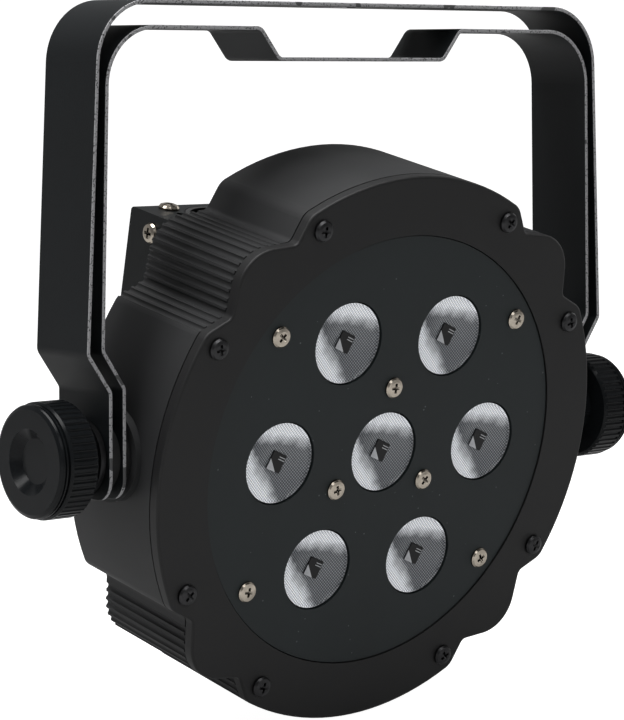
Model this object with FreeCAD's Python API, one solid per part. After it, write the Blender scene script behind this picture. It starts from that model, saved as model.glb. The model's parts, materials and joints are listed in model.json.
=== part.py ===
import FreeCAD, Part
import math
import os

# LED par can light: a flat round lamp head hung by two side pivots in two nested U brackets.
# Units are millimetres. +Z is up, the lamp faces -Y, and the origin is the centre of the
# hanging hole in the outer bracket's top, at the middle of the strip's thickness.
# The head's pieces are drawn level, in the lamp frame: the origin is on the optical axis in
# the plane of the bezel's face, and Y runs back from it. They are then tilted about the pivot.

V = FreeCAD.Vector

# ---- lenses and front panel -------------------------------------------------------------
LENS_PITCH = 35.0            # from the centre lens to each of the ring of six
APERTURE_RADIUS = 11.0
PANEL_EDGE_MARGIN = 12.0     # from the apertures' outer edge to the bezel's opening
PANEL_THICKNESS = 2.0
PANEL_RECESS = 0.4           # the panel's face lies this far behind the bezel's
PANEL_GAP = 0.25             # between panel and bezel, all round
PANEL_SCREW_MARGIN = 5.4     # outer panel screws, in from the bezel's opening
PANEL_SCREW_ANGLE = 39.6     # above and below the horizontal
LENS_CLEARANCE = 0.3
LENS_RECESS = 0.5
LENS_FLANGE = 1.7
LENS_DEPTH = 10.2            # from the flange to the narrow end
LENS_END_RADIUS = 4.4
LENS_CONE_RADIUS = 9.9
LENS_CAVITY_RADIUS = 2.6
LENS_CAVITY_DEPTH = 3.0
HOLDER_WALL = 1.35
HOLDER_FOOT_RADIUS = 7.0

# ---- housing outline --------------------------------------------------------------------
BEZEL_WIDTH = 15.4           # from the opening to the big lobes' edge
NOTCH_DEPTH = 3.9            # the notches' floor, in from the big lobes
SMALL_LOBE_RISE = 1.9        # the small lobes' peak, out from the big lobes
SMALL_LOBE_RADIUS = 10.5
NOTCH_RADIUS = 2.0
CORNER_RADIUS = 5.0          # where a big lobe turns into a notch
LOBE_LEAD = 6.5              # straight stretch between a notch and a small lobe
CORNER_LEAD = 5.2            # straight stretch between a notch and a big lobe's corner
QUADRANTS = 4

# ---- housing and bezel ------------------------------------------------------------------
HOUSING_DEPTH = 37.0
BEZEL_THICKNESS = 3.0
BEZEL_EDGE = 0.7             # rounding of the bezel's outer front edge
SEAM = 0.4                   # groove between bezel and housing
WALL = 2.5
BACK_WALL = 2.5
RIB_PITCH = 2.3
GROOVE_RADIUS = 0.9
GROOVE_DEPTH = 0.6
BEZEL_SCREW_MARGIN = 5.2     # in from the big lobes' edge
BEZEL_SCREW_ANGLE = 27.8     # to each side of a big lobe's middle
SCREW_BOSS_RADIUS = 3.2
SCREW_BOSS_DEPTH = 16.0
SCREW_BOSS_FLOOR = 2.0
VENT_WIDTH = 3.0
VENT_PITCH = 6.5
VENT_MARGIN = 7.0            # from the rear box's side to the first vent
VENTS_PER_SIDE = 3
VENT_HALF_HEIGHT = 16.0
WIRE_WINDOW = 15.0           # half the side of the square hole behind the rear box

# ---- screws, nuts and clearances --------------------------------------------------------
M3_RADIUS = 1.45
M3_CLEARANCE = 0.1
M3_HEAD_RADIUS = 2.75
M3_HEAD_HEIGHT = 1.5
M3_PANEL_HEAD_HEIGHT = 1.1
M3_DOME = ((1.0, 0.0), (1.0, 0.4), (0.86, 0.78), (0.58, 0.96))   # shares of radius and height
CROSS_REACH = 0.62           # the cross's arm, as a share of the head's radius
CROSS_SLOT = 0.14
CROSS_DEPTH = 0.7            # as a share of the head's height
CROSS_FLARE = 0.7
CROSS_TIP = 0.35
SCREW_GRIP = 3.0             # thread in the part below
SHEET_SCREW = 5.0
PANEL_SCREW = 7.0
BEZEL_SCREW = 8.0
CUT = 1.0                    # how far a cutting shape runs past a face
HEAD_SPIN = 37.0             # each screw's cross is turned this much further than the last
TOUCH = 0.05                 # play between pieces that are seated on each other
MOVE_GAP = 0.25              # play between flat faces that turn on each other

# ---- boards and heat sink ---------------------------------------------------------------
BOARD_THICKNESS = 1.6
BOARD_MARGIN = 2.0           # LED board's edge, in from the bezel's opening
EMITTER_SIDE = 5.0
EMITTER_HEIGHT = 1.0
EMITTER_DOME = 1.6
STANDOFF_ACROSS = 4.5
STANDOFF_BORE = 0.8          # share of the pillar's length that is drilled
BOARD_SCREWS = 6
BOARD_SCREW_MARGIN = 8.0
SINK_BASE = 4.0
SINK_FIN = 1.5
SINK_FIN_PITCH = 6.0
FIN_SETBACK = 1.0            # the fins' envelope, in from the base's edge
SINK_SKIN = 0.5              # metal left in front of the housing screws' holes
SINK_TAP_DEPTH = 3.2         # holes for the board's screws
SINK_FIN_GAP = 3.5           # between the fins' ends and the back wall
SINK_POST_RADIUS = 4.0
SINK_SCREW_MARGIN = 3.0
SINK_SCREW_SIDE = 7.5        # out from the rear box's side
CABLE_RADIUS = 2.0
CABLE_GAP = 1.0

# ---- pivots and knobs -------------------------------------------------------------------
PIVOT_BEHIND_MIDDLE = 1.4
STUD_RADIUS = 4.0
STUD_CLEARANCE = 0.4         # radial, in the holes that it passes through
STUD_FIT = 0.05              # radial play of the stud in its threaded insert
INSERT_WALL = 2.0
INSERT_SIDE_GAP = 3.0        # from the LED panel's radius to the insert's inner end
INSERT_BOSS_WALL = 3.0
INSERT_END_WALL = 1.4        # housing left beyond the wall at the insert's outer end
PAD_RADIUS = 12.0
PAD_HEIGHT = 1.5
PAD_ROOT = 2.0               # the pad starts this far inside the big lobes' edge
FRICTION_WASHER = 1.65
SPACER_WASHER = 2.6
CLAMP_WASHER = 1.5
WASHER_RADIUS = 9.5
KNOB_RADIUS = 14.5
KNOB_HUB_RADIUS = 8.5
KNOB_HUB = 3.6               # from the hub's inboard face to the ribbed skirt
KNOB_LENGTH = 14.6           # with the hub
KNOB_RIB_LENGTH = 7.9
KNOB_CHAMFER = 0.8
KNOB_RIBS = 50
KNOB_GROOVE = 0.55
KNOB_GROOVE_SHIFT = 0.15     # the grooves' centres lie this far outside the skirt
KNOB_RIB_OVERLAP = 0.2       # the grooves stop this far short of the skirt's outer end
KNOB_RIM_RADIUS = 14.0
KNOB_RIM_STEPS = ((14.0, 0.5), (13.4, 0.6), (13.4, 1.0), (14.0, 1.2), (14.0, 1.6),
                  (13.6, 1.7), (13.6, 1.9), (14.0, 2.1))   # radius, distance past the ribs
KNOB_RIM_LENGTH = 0.9        # rounded part of the rim
KNOB_FACE_RADIUS = 12.9
KNOB_RECESS_RADIUS = 8.2
KNOB_RECESS_FLOOR = 5.6
KNOB_RECESS_DEPTH = 2.2
STUD_GRIP = 8.0              # length of the stud moulded into the knob
STUD_CHAMFER = 0.6

# ---- brackets ---------------------------------------------------------------------------
STRIP = 1.0
STRIP_WIDTH = 21.2
STRIP_EDGE = 0.3
BEND_RADIUS = 2.5            # to the middle of the strip
STRIP_END_DROP = 10.4        # from the pivot to the strips' ends
STRIP_END_RADIUS = 5.5
OUTER_STEP = 6.6             # outward step of the outer bracket's arms above the pivot
OUTER_STEP_START = 16.6
OUTER_STEP_RISE = 9.4
OUTER_LEAN = 3.9             # the arms come in this much from the step to the top
OUTER_CORNER = 16.0
INNER_STEP = 6.3
INNER_STEP_START = 17.4
INNER_STEP_RISE = 9.35
INNER_LEAN = 1.9
INNER_CORNER = 15.0
BRACKET_NEST = 6.25          # from the inner bracket's top face to the outer one's
DIP_DEPTH = 7.7
DIP_TOP_HALF = 34.15
DIP_FLOOR_HALF = 28.1
DIP_HEAD_GAP = 18.95         # from the head's sweep to the underside of the dip
HANGING_HOLE_RADIUS = 5.25
TILT = 11.5                  # degrees, nose down, as the lamp is stored

# ---- rear box ---------------------------------------------------------------------------
SHEET = 1.2
SOCKET_FLANGE_LONG = 31.0
SOCKET_FLANGE_SHORT = 26.0
SOCKET_GAP = 0.6             # between the two sockets' flanges
BOX_SIDE_MARGIN = 5.2        # from a socket's flange to the box's side
BOX_FRONT_MARGIN = 7.0       # from the housing to a socket's flange
SOCKET_DEPTH = 24.5          # taken up under the box's top by the signal sockets
POWER_DEPTH = 22.5           # taken up above the box's floor by the power sockets
SERVICE_GAP = 52.0           # clear height left between them
BOX_TAB = 8.0
BOX_TAB_HALF = 26.5          # half the width of the tabs on the housing
BOX_SCREW_SIDE = 20.0
SIDE_SCREW_DROP = 5.0
SIDE_SCREW_FORWARD = 10.0

SOCKET_RING_RADIUS = 10.9
SOCKET_HOLE_GAP = 0.2        # radial, round the ring
SOCKET_BORE_RADIUS = 9.6
SOCKET_BORE_DEPTH = 16.0
SOCKET_BODY_WALL = 1.7
SOCKET_FLANGE = 2.0
SOCKET_SCREW_LONG = 12.0
SOCKET_SCREW_SHORT = 9.5
SOCKET_INSERT_RADIUS = 7.9
SOCKET_INSERT_DROP = 0.8     # from the ring's face
PILOT_RADIUS = 1.3
PIN_RADIUS = 1.2
PIN_PLAY = 0.2
PIN_ROUNDING = 0.7           # share of the radius
PIN_CIRCLE = 4.8
PIN_LENGTH = 12.0
PIN_TAIL = 4.0
LATCH_WIDTH = 5.0
LATCH_INSET = 0.1            # outside the bore
LATCH_LENGTH = 12.0
LATCH_PROUD = 1.8
LATCH_TRAVEL = 1.5

POWER_FLANGE_WIDTH = 30.0
POWER_FLANGE_DEPTH = 24.0
POWER_FLANGE = 2.0
POWER_BODY_WIDTH = 27.0
POWER_BODY_DEPTH = 20.0
INLET_WIDTH = 24.0
INLET_DEPTH = 16.0
INLET_CAVITY = 16.0
INLET_CORNER = 5.0           # size of the two cut corners
BLADE_WIDTH = 2.0
BLADE_DEPTH = 4.0
BLADE_LENGTH = 12.0
BLADE_SIDE = 7.0
BLADE_EARTH = 4.0
BLADE_SHIFT = 1.0            # the blades' row, forward of the socket's middle
BLADE_TAIL = 2.0
OUTLET_MOAT = 2.4

DISPLAY_WIDTH = 30.0
DISPLAY_HEIGHT = 14.0
DISPLAY_DEPTH = 7.4
DISPLAY_RISE = 18.5          # window's centre above the power sockets
CONTROL_BOARD_WIDTH = 48.0
CONTROL_BOARD_HEIGHT = 28.0
CONTROL_BOARD_SIDE = 3.0     # from the box's inside to the board
CONTROL_BOARD_GAP = 1.0      # above the power sockets
DISPLAY_BEZEL = 0.5          # the module is this much smaller than its window, all round
BUTTON_COUNT = 4
BUTTON_PITCH = 9.5
BUTTON_RADIUS = 2.8
BUTTON_HOLE_RADIUS = 3.1
BUTTON_COLLAR_RADIUS = 3.7
BUTTON_COLLAR = 0.8
BUTTON_PROUD = 1.3
BUTTON_DROP = 13.0           # below the window's centre
BUTTON_TRAVEL = 0.5
SWITCH_SIDE = 6.0
SWITCH_HEIGHT = 4.0
SWITCH_INSET = 1.0           # part of the switch's height lost in its footprint on the board

FUSE_SIDE = 10.0             # from the box's inside to the fuse holder's axis
FUSE_RISE = 21.0             # above the power sockets
FUSE_BODY_RADIUS = 6.0
FUSE_BODY_LENGTH = 25.0
FUSE_FLANGE_RADIUS = 8.0
FUSE_FLANGE = 1.6
FUSE_CAP_RADIUS = 5.2
FUSE_CAP_PROUD = 3.5
FUSE_CAP_INSIDE = 5.0
FUSE_RADIUS = 2.6
FUSE_LENGTH = 15.0
FUSE_FIT = 0.1
FUSE_SLOT_DEPTH = 1.5
FUSE_SLOT_HALF = 0.6
FUSE_HOLDER_FLOOR = 2.0
FUSE_POCKET = 3.0            # the fuse's end in its cap

POWER_BOARD_MARGIN = 2.0     # above the power sockets and below the signal sockets
POWER_BOARD_HALF = 29.0
POWER_BOARD_STANDOFF = 2.8
BOARD_CORNER = 4.0           # from the board's edges to its screws
EDGE_SOFT = 0.5              # rounding of caps and buttons
TRANSFORMER_EDGE = 1.5
CAPACITOR_GAP = 2.0
TRANSFORMER = (20.0, 15.0, 22.0)
CAPACITOR_RADIUS = 5.0
CAPACITOR_LENGTH = 14.0

LOOP_INNER = 18.0
LOOP_HEIGHT = 8.0
LOOP_STRIP = 1.5
LOOP_WIDTH = 10.0
LOOP_FOOT = 8.5
LOOP_BEND = 1.8
LOOP_DROP = 7.0              # loop's middle below the signal sockets

# ---- sizes that follow from those above -------------------------------------------------
PANEL_OPENING = LENS_PITCH + APERTURE_RADIUS + PANEL_EDGE_MARGIN
BIG_LOBE_RADIUS = PANEL_OPENING + BEZEL_WIDTH
PEAK_RADIUS = BIG_LOBE_RADIUS + SMALL_LOBE_RISE
PIVOT_DEPTH = HOUSING_DEPTH / 2 + PIVOT_BEHIND_MIDDLE
PANEL_BACK = PANEL_RECESS + PANEL_THICKNESS
LENS_FRONT = PANEL_RECESS + LENS_RECESS
LENS_RADIUS = APERTURE_RADIUS - LENS_CLEARANCE
HOLDER_FRONT = LENS_FRONT + LENS_FLANGE
LENS_END = HOLDER_FRONT + LENS_DEPTH
BOARD_FRONT = LENS_END + EMITTER_HEIGHT + EMITTER_DOME + 4 * TOUCH
BOARD_BACK = BOARD_FRONT + BOARD_THICKNESS
BOARD_RADIUS = PANEL_OPENING - BOARD_MARGIN
SINK_BACK = BOARD_BACK + SINK_BASE
BACK_INSIDE = HOUSING_DEPTH - BACK_WALL
FIN_END = BACK_INSIDE - SINK_FIN_GAP

BOX_HALF_WIDTH = SOCKET_FLANGE_LONG + SOCKET_GAP / 2 + BOX_SIDE_MARGIN
BOX_HALF_HEIGHT = (SOCKET_DEPTH + SERVICE_GAP + POWER_DEPTH) / 2
BOX_BACK = HOUSING_DEPTH + BOX_FRONT_MARGIN + SOCKET_FLANGE_SHORT + SHEET + MOVE_GAP
BOX_INSIDE = BOX_BACK - SHEET
SOCKET_X = (SOCKET_FLANGE_LONG + SOCKET_GAP) / 2
SOCKET_Y = HOUSING_DEPTH + BOX_FRONT_MARGIN + SOCKET_FLANGE_SHORT / 2
SOCKET_UNDER = BOX_HALF_HEIGHT - SHEET
SOCKET_FLOOR = BOX_HALF_HEIGHT - SOCKET_DEPTH
POWER_TOP = -BOX_HALF_HEIGHT + POWER_DEPTH
POWER_X = POWER_FLANGE_WIDTH / 2 + SOCKET_GAP
POWER_Y = HOUSING_DEPTH + BOX_FRONT_MARGIN / 2 + POWER_FLANGE_DEPTH / 2
SINK_SCREW_X = BOX_HALF_WIDTH + SINK_SCREW_SIDE
SINK_SCREW_Z = math.sqrt((BOARD_RADIUS - SINK_SCREW_MARGIN) ** 2 - SINK_SCREW_X ** 2)

PAD_FACE = BIG_LOBE_RADIUS + PAD_HEIGHT
INNER_INSIDE = PAD_FACE + FRICTION_WASHER + MOVE_GAP
INNER_HALF = INNER_INSIDE + STRIP
OUTER_INSIDE = INNER_HALF + SPACER_WASHER + 2 * MOVE_GAP
OUTER_HALF = OUTER_INSIDE + STRIP
CLAMP_INSIDE = OUTER_HALF + MOVE_GAP
KNOB_INSIDE = CLAMP_INSIDE + CLAMP_WASHER + MOVE_GAP
INSERT_INNER = PANEL_OPENING + INSERT_SIDE_GAP
INSERT_RADIUS = STUD_RADIUS + INSERT_WALL
STUD_HOLE_RADIUS = STUD_RADIUS + STUD_CLEARANCE
M3_HOLE_RADIUS = M3_RADIUS + M3_CLEARANCE
SOCKET_HOLE_RADIUS = SOCKET_RING_RADIUS + SOCKET_HOLE_GAP
SOCKET_BODY_RADIUS = SOCKET_BORE_RADIUS + SOCKET_BODY_WALL
INSERT_OUTER = BIG_LOBE_RADIUS - WALL - INSERT_END_WALL

SWEEP_RADIUS = max(
    math.hypot(PEAK_RADIUS, PIVOT_DEPTH),
    math.hypot(BOX_BACK - PIVOT_DEPTH, BOX_HALF_HEIGHT))
INNER_TOP = SWEEP_RADIUS + DIP_HEAD_GAP + STRIP + DIP_DEPTH
OUTER_TOP = INNER_TOP + BRACKET_NEST
PIVOT_DROP = OUTER_TOP - STRIP / 2

HEAD_PLACE = FreeCAD.Placement(
    V(0, 0, -PIVOT_DROP), FreeCAD.Rotation(V(1, 0, 0), TILT)).multiply(
    FreeCAD.Placement(V(0, -PIVOT_DEPTH, 0), FreeCAD.Rotation()))
BRACKET_PLACE = FreeCAD.Placement(V(0, 0, -PIVOT_DROP), FreeCAD.Rotation())


# ---- general shapes ---------------------------------------------------------------------
def rod(radius, start, end):
    """Solid cylinder between two points."""
    start = V(*start)
    run = V(*end) - start
    return Part.makeCylinder(radius, run.Length, start, run)


def block(x, y, z):
    """Box from three (low, high) pairs."""
    return Part.makeBox(x[1] - x[0], y[1] - y[0], z[1] - z[0], V(x[0], y[0], z[0]))


def around(centre, half):
    """(low, high) pair about a centre."""
    return (centre - half, centre + half)


def join(shapes):
    """One solid from shapes that overlap or touch."""
    return shapes[0].fuse(shapes[1:]).removeSplitter()


def turned(profile, axis_start, axis):
    """Solid of revolution from a closed list of points."""
    face = Part.Face(Part.makePolygon([V(*p) for p in profile + profile[:1]]))
    return face.revolve(V(*axis_start), V(*axis), 360)


def moved(shape, point, outward=(0, -1, 0), spin=0.0):
    """Copy of a shape drawn at the origin facing -Y, put at a point and facing outward."""
    copy = shape.copy()
    turn = FreeCAD.Rotation(V(0, -1, 0), V(*outward)).multiply(FreeCAD.Rotation(V(0, 1, 0), spin))
    copy.Placement = FreeCAD.Placement(V(*point), turn)
    return copy


def polar(radius, degrees):
    """(x, z) at an angle from +Z towards +X."""
    angle = math.radians(degrees)
    return V(radius * math.sin(angle), 0, radius * math.cos(angle))


def pan_screw(length, head_height=M3_HEAD_HEIGHT):
    """M3 cross-recessed pan-head screw: under-head face at y=0, head towards -Y."""
    r = M3_HEAD_RADIUS
    h = head_height
    dome = [(share * r, -rise * h, 0) for share, rise in M3_DOME]
    head = turned([(0, 0, 0)] + dome + [(0, -h, 0)], (0, 0, 0), (0, 1, 0))
    arm = CROSS_REACH * r
    slot = CROSS_SLOT * r
    depth = CROSS_DEPTH * h
    cross = join([block(around(0, arm), (-h - CUT, depth - h), around(0, slot)),
                  block(around(0, slot), (-h - CUT, depth - h), around(0, arm))])
    taper = Part.makeCone(arm + CROSS_FLARE, CROSS_TIP * arm, CUT + depth,
                          V(0, -h - CUT, 0), V(0, 1, 0))
    shank = rod(M3_RADIUS, (0, -TOUCH, 0), (0, length, 0))
    return join([head, shank]).cut(cross.common(taper))


def screw_group(screw, places, outward=(0, -1, 0)):
    """Identical screws as separate solids."""
    return Part.makeCompound([moved(screw, p, outward, HEAD_SPIN * i) for i, p in enumerate(places)])


# ---- scalloped outline ------------------------------------------------------------------
def cross_normal(centre, radius, other, other_radius):
    """Outward unit normal of the line that touches both circles and passes between them."""
    run = other - centre
    bend = math.degrees(math.asin((radius + other_radius) / run.Length))
    options = [FreeCAD.Rotation(V(0, 1, 0), s * (90 - bend)).multVec(run) for s in (-1, 1)]
    best = max(options, key=lambda n: n.dot(centre + other))
    return best.normalize()


def outline_geometry():
    """Centres and normals that fix half a quadrant of the outline, from +Z to the diagonal."""
    diagonal = 180.0 / QUADRANTS
    lobe_r = PEAK_RADIUS - SMALL_LOBE_RADIUS
    notch_r = BIG_LOBE_RADIUS - NOTCH_DEPTH + NOTCH_RADIUS
    corner_r = BIG_LOBE_RADIUS - CORNER_RADIUS

    def angle_between(a, b, gap):
        return math.degrees(math.acos((a * a + b * b - gap * gap) / (2 * a * b)))

    lobe_gap = math.hypot(SMALL_LOBE_RADIUS + NOTCH_RADIUS, LOBE_LEAD)
    corner_gap = math.hypot(CORNER_RADIUS + NOTCH_RADIUS, CORNER_LEAD)
    notch_angle = diagonal - angle_between(notch_r, lobe_r, lobe_gap)
    corner_angle = notch_angle - angle_between(notch_r, corner_r, corner_gap)
    lobe = polar(lobe_r, diagonal)
    notch = polar(notch_r, notch_angle)
    corner = polar(corner_r, corner_angle)
    return {
        "lobe": lobe, "notch": notch, "corner": corner, "corner_angle": corner_angle,
        "corner_normal": cross_normal(corner, CORNER_RADIUS, notch, NOTCH_RADIUS),
        "lobe_normal": cross_normal(lobe, SMALL_LOBE_RADIUS, notch, NOTCH_RADIUS)}


def arc(centre, radius, start, end):
    """Arc between two unit normals, the short way."""
    middle = (start + end).normalize()
    points = [centre + n * radius for n in (start, middle, end)]
    return Part.Arc(*points).toShape()


def corner_edges(grow):
    """Half of a ribbed corner: the big lobe's corner, the notch and the lead to the small lobe."""
    g = outline_geometry()
    first = polar(1, g["corner_angle"])
    n1 = g["corner_normal"]
    n2 = g["lobe_normal"]
    notch = g["notch"]
    convex = CORNER_RADIUS + grow
    hollow = NOTCH_RADIUS - grow
    lobe = SMALL_LOBE_RADIUS + grow
    return [
        arc(g["corner"], convex, first, n1),
        Part.LineSegment(g["corner"] + n1 * convex, notch - n1 * hollow).toShape(),
        arc(notch, hollow, n1 * -1, n2 * -1),
        Part.LineSegment(notch - n2 * hollow, g["lobe"] + n2 * lobe).toShape()]


def ribbed_edges(grow):
    """All edges of one ribbed corner, from one big lobe to the next."""
    g = outline_geometry()
    half = corner_edges(grow)
    diagonal = polar(1, 180.0 / QUADRANTS)
    normal = V(diagonal.z, 0, -diagonal.x)
    mirrored = [e.mirror(V(0, 0, 0), normal) for e in half]
    n2 = g["lobe_normal"]
    n2_mirrored = n2 - normal * (2 * n2.dot(normal))
    middle = arc(g["lobe"], SMALL_LOBE_RADIUS + grow, n2, n2_mirrored)
    return half + [middle] + mirrored


def outline_face(grow, y):
    """Face of the whole outline at depth y, grown by a distance."""
    g = outline_geometry()
    reach = BIG_LOBE_RADIUS + grow
    step = 360.0 / QUADRANTS
    edges = []
    for i in range(QUADRANTS):
        big = arc(V(0, 0, 0), reach, polar(1, -g["corner_angle"]), polar(1, g["corner_angle"]))
        for edge in [big] + ribbed_edges(grow):
            edge.rotate(V(0, 0, 0), V(0, 1, 0), i * step)
            edges.append(edge)
    face = Part.Face(Part.Wire(Part.__sortEdges__(edges)))
    face.translate(V(0, y, 0))
    return face


def outline_solid(grow, start, end):
    """Solid with the outline's section between two depths."""
    return outline_face(grow, start).extrude(V(0, end - start, 0))


# ---- front of the lamp ------------------------------------------------------------------
def lens_centres():
    """(x, z) of the centre lens and of the ring of six."""
    ring = [polar(LENS_PITCH, 90 + 60 * i) for i in range(6)]
    return [(0.0, 0.0)] + [(p.x, p.z) for p in ring]


def bezel_screw_places(y):
    spots = []
    for i in range(QUADRANTS):
        for side in (-1, 1):
            p = polar(BIG_LOBE_RADIUS - BEZEL_SCREW_MARGIN,
                      i * 360.0 / QUADRANTS + side * BEZEL_SCREW_ANGLE)
            spots.append((p.x, y, p.z))
    return spots


def panel_screw_places(y):
    inner = [polar(LENS_PITCH / 2, 120 * i) for i in range(3)]
    reach = PANEL_OPENING - PANEL_SCREW_MARGIN
    outer = [polar(reach, 90 + s * PANEL_SCREW_ANGLE + half)
             for half in (0, 180) for s in (-1, 1)]
    return [(p.x, y, p.z) for p in inner + outer]


def front_bezel():
    body = outline_solid(0, 0, BEZEL_THICKNESS)
    front = [e for e in body.Edges if e.BoundBox.YMax < TOUCH]
    body = body.makeFillet(BEZEL_EDGE, front)
    holes = [rod(PANEL_OPENING, (0, -CUT, 0), (0, BEZEL_THICKNESS + CUT, 0))]
    holes += [rod(M3_HOLE_RADIUS, (x, -CUT, z), (x, BEZEL_THICKNESS + CUT, z))
              for x, y, z in bezel_screw_places(0)]
    return body.cut(holes)


def front_panel():
    radius = PANEL_OPENING - PANEL_GAP
    plate = rod(radius, (0, PANEL_RECESS, 0), (0, PANEL_BACK, 0))
    holes = [rod(APERTURE_RADIUS, (x, 0, z), (x, PANEL_BACK + CUT, z)) for x, z in lens_centres()]
    holes += [rod(M3_HOLE_RADIUS, (x, 0, z), (x, PANEL_BACK + CUT, z))
              for x, y, z in panel_screw_places(0)]
    return plate.cut(holes)


def lens():
    """Moulded collimator lens on the Y axis: a flange, a cone and a pocket for the LED."""
    return turned([
        (0, LENS_FRONT, 0), (LENS_RADIUS, LENS_FRONT, 0), (LENS_RADIUS, HOLDER_FRONT, 0),
        (LENS_CONE_RADIUS, HOLDER_FRONT, 0), (LENS_END_RADIUS, LENS_END, 0),
        (LENS_CAVITY_RADIUS, LENS_END, 0), (LENS_CAVITY_RADIUS, LENS_END - LENS_CAVITY_DEPTH, 0),
        (0, LENS_END - LENS_CAVITY_DEPTH, 0)], (0, 0, 0), (0, 1, 0))


def lens_holder():
    """Black cup around a lens, standing on the LED board."""
    play = 3 * TOUCH
    end = LENS_END_RADIUS + play
    return turned([
        (LENS_CONE_RADIUS + play, HOLDER_FRONT, 0),
        (LENS_CONE_RADIUS + HOLDER_WALL + play, HOLDER_FRONT, 0),
        (HOLDER_FOOT_RADIUS, LENS_END, 0), (HOLDER_FOOT_RADIUS, BOARD_FRONT, 0),
        (end, BOARD_FRONT, 0), (end, LENS_END, 0)], (0, 0, 0), (0, 1, 0))


def emitter():
    """LED package and its dome, on the Y axis."""
    half = EMITTER_SIDE / 2
    package = block(around(0, half), (BOARD_FRONT - EMITTER_HEIGHT, BOARD_FRONT), around(0, half))
    dome = Part.makeSphere(EMITTER_DOME, V(0, BOARD_FRONT - EMITTER_HEIGHT, 0))
    cap = block(around(0, half), (BOARD_FRONT - EMITTER_HEIGHT - EMITTER_DOME,
                                  BOARD_FRONT - EMITTER_HEIGHT / 2), around(0, half))
    return join([package, dome.common(cap)])


def at_lenses(shape):
    """The same shape behind every lens."""
    return [moved(shape, (x, 0, z)) for x, z in lens_centres()]


def board_screw_places(y):
    reach = BOARD_RADIUS - BOARD_SCREW_MARGIN
    spots = [polar(reach, i * 360.0 / BOARD_SCREWS) for i in range(BOARD_SCREWS)]
    return [(p.x, y, p.z) for p in spots]


def led_board():
    disc = rod(BOARD_RADIUS, (0, BOARD_FRONT, 0), (0, BOARD_BACK, 0))
    holes = [rod(M3_HOLE_RADIUS, (x, 0, z), (x, BOARD_BACK + CUT, z))
             for x, y, z in board_screw_places(0)]
    return disc.cut(holes)


def panel_standoffs():
    """Hexagonal pillars between the LED board and the front panel."""
    length = BOARD_FRONT - PANEL_BACK
    corners = [polar(STANDOFF_ACROSS / math.sqrt(3), 60 * i) for i in range(7)]
    hexagon = Part.Face(Part.makePolygon(corners)).extrude(V(0, length, 0))
    pillar = hexagon.cut(rod(M3_HOLE_RADIUS, (0, -CUT, 0), (0, length * STANDOFF_BORE, 0)))
    return Part.makeCompound([moved(pillar, p) for p in panel_screw_places(PANEL_BACK)])


def sink_screw_places(y):
    return [(sx * SINK_SCREW_X, y, sz * SINK_SCREW_Z) for sx in (-1, 1) for sz in (-1, 1)]


def heat_sink():
    """Round base with upright fins, drilled for its screws and for the LED cable."""
    base = rod(BOARD_RADIUS, (0, BOARD_BACK, 0), (0, SINK_BACK, 0))
    reach = SINK_SCREW_X - SINK_POST_RADIUS - SINK_FIN
    count = int(reach // SINK_FIN_PITCH)
    envelope = rod(BOARD_RADIUS - FIN_SETBACK, (0, SINK_BACK - CUT, 0), (0, FIN_END, 0))
    places = [s * (i + 0.5) * SINK_FIN_PITCH for i in range(count) for s in (-1, 1)]
    fins = [block(around(x, SINK_FIN / 2), (SINK_BACK - CUT, FIN_END), around(0, BOARD_RADIUS))
            for x in places]
    body = join([base, Part.makeCompound(fins).common(envelope)])
    holes = [rod(M3_HOLE_RADIUS, (x, BOARD_BACK + SINK_SKIN, z), (x, SINK_BACK + CUT, z))
             for x, y, z in sink_screw_places(0)]
    holes += [rod(M3_HOLE_RADIUS, (x, BOARD_BACK - CUT, z), (x, BOARD_BACK + SINK_TAP_DEPTH, z))
              for x, y, z in board_screw_places(0)]
    holes.append(rod(CABLE_RADIUS + CABLE_GAP, (0, 0, 0), (0, SINK_BACK + CUT, 0)))
    return body.cut(holes)


# ---- housing ----------------------------------------------------------------------------
def rib_grooves():
    """Round-bottomed grooves that leave fine ribs along each ribbed corner."""
    step = 360.0 / QUADRANTS
    wire = Part.Wire(ribbed_edges(0))
    count = round(wire.Length / RIB_PITCH)
    points = wire.discretize(Number=count + 1)
    tools = []
    for before, here, after in zip(points, points[1:], points[2:]):
        along = (after - before).normalize()
        outward = V(along.z, 0, -along.x)
        if outward.dot(here) < 0:
            outward = outward * -1
        centre = here + outward * (GROOVE_RADIUS - GROOVE_DEPTH)
        groove = rod(GROOVE_RADIUS, (centre.x, BEZEL_THICKNESS + SEAM, centre.z),
                     (centre.x, HOUSING_DEPTH + CUT, centre.z))
        for i in range(QUADRANTS):
            turn = groove.copy()
            turn.rotate(V(0, 0, 0), V(0, 1, 0), i * step)
            tools.append(turn)
    return tools


def vent_slots():
    """Upright slots through the back wall, to each side of the rear box."""
    slots = []
    low = -VENT_HALF_HEIGHT + VENT_WIDTH / 2
    for side in (-1, 1):
        for i in range(VENTS_PER_SIDE):
            x = side * (BOX_HALF_WIDTH + VENT_MARGIN + i * VENT_PITCH)
            slots.append(block(around(x, VENT_WIDTH / 2), (BACK_INSIDE - CUT, HOUSING_DEPTH + CUT),
                               (low, -low)))
            slots += [rod(VENT_WIDTH / 2, (x, BACK_INSIDE - CUT, z), (x, HOUSING_DEPTH + CUT, z))
                      for z in (low, -low)]
    return slots


def box_screw_places(y):
    return [(sx * BOX_SCREW_SIDE, y, sz * (BOX_HALF_HEIGHT - SHEET - BOX_TAB / 2))
            for sx in (-1, 1) for sz in (-1, 1)]


def power_board_screw_places(y):
    half_height = SERVICE_GAP / 2 - POWER_BOARD_MARGIN
    middle = (SOCKET_FLOOR + POWER_TOP) / 2
    return [(sx * (POWER_BOARD_HALF - BOARD_CORNER), y, middle + sz * (half_height - BOARD_CORNER))
            for sx in (-1, 1) for sz in (-1, 1)]


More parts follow.
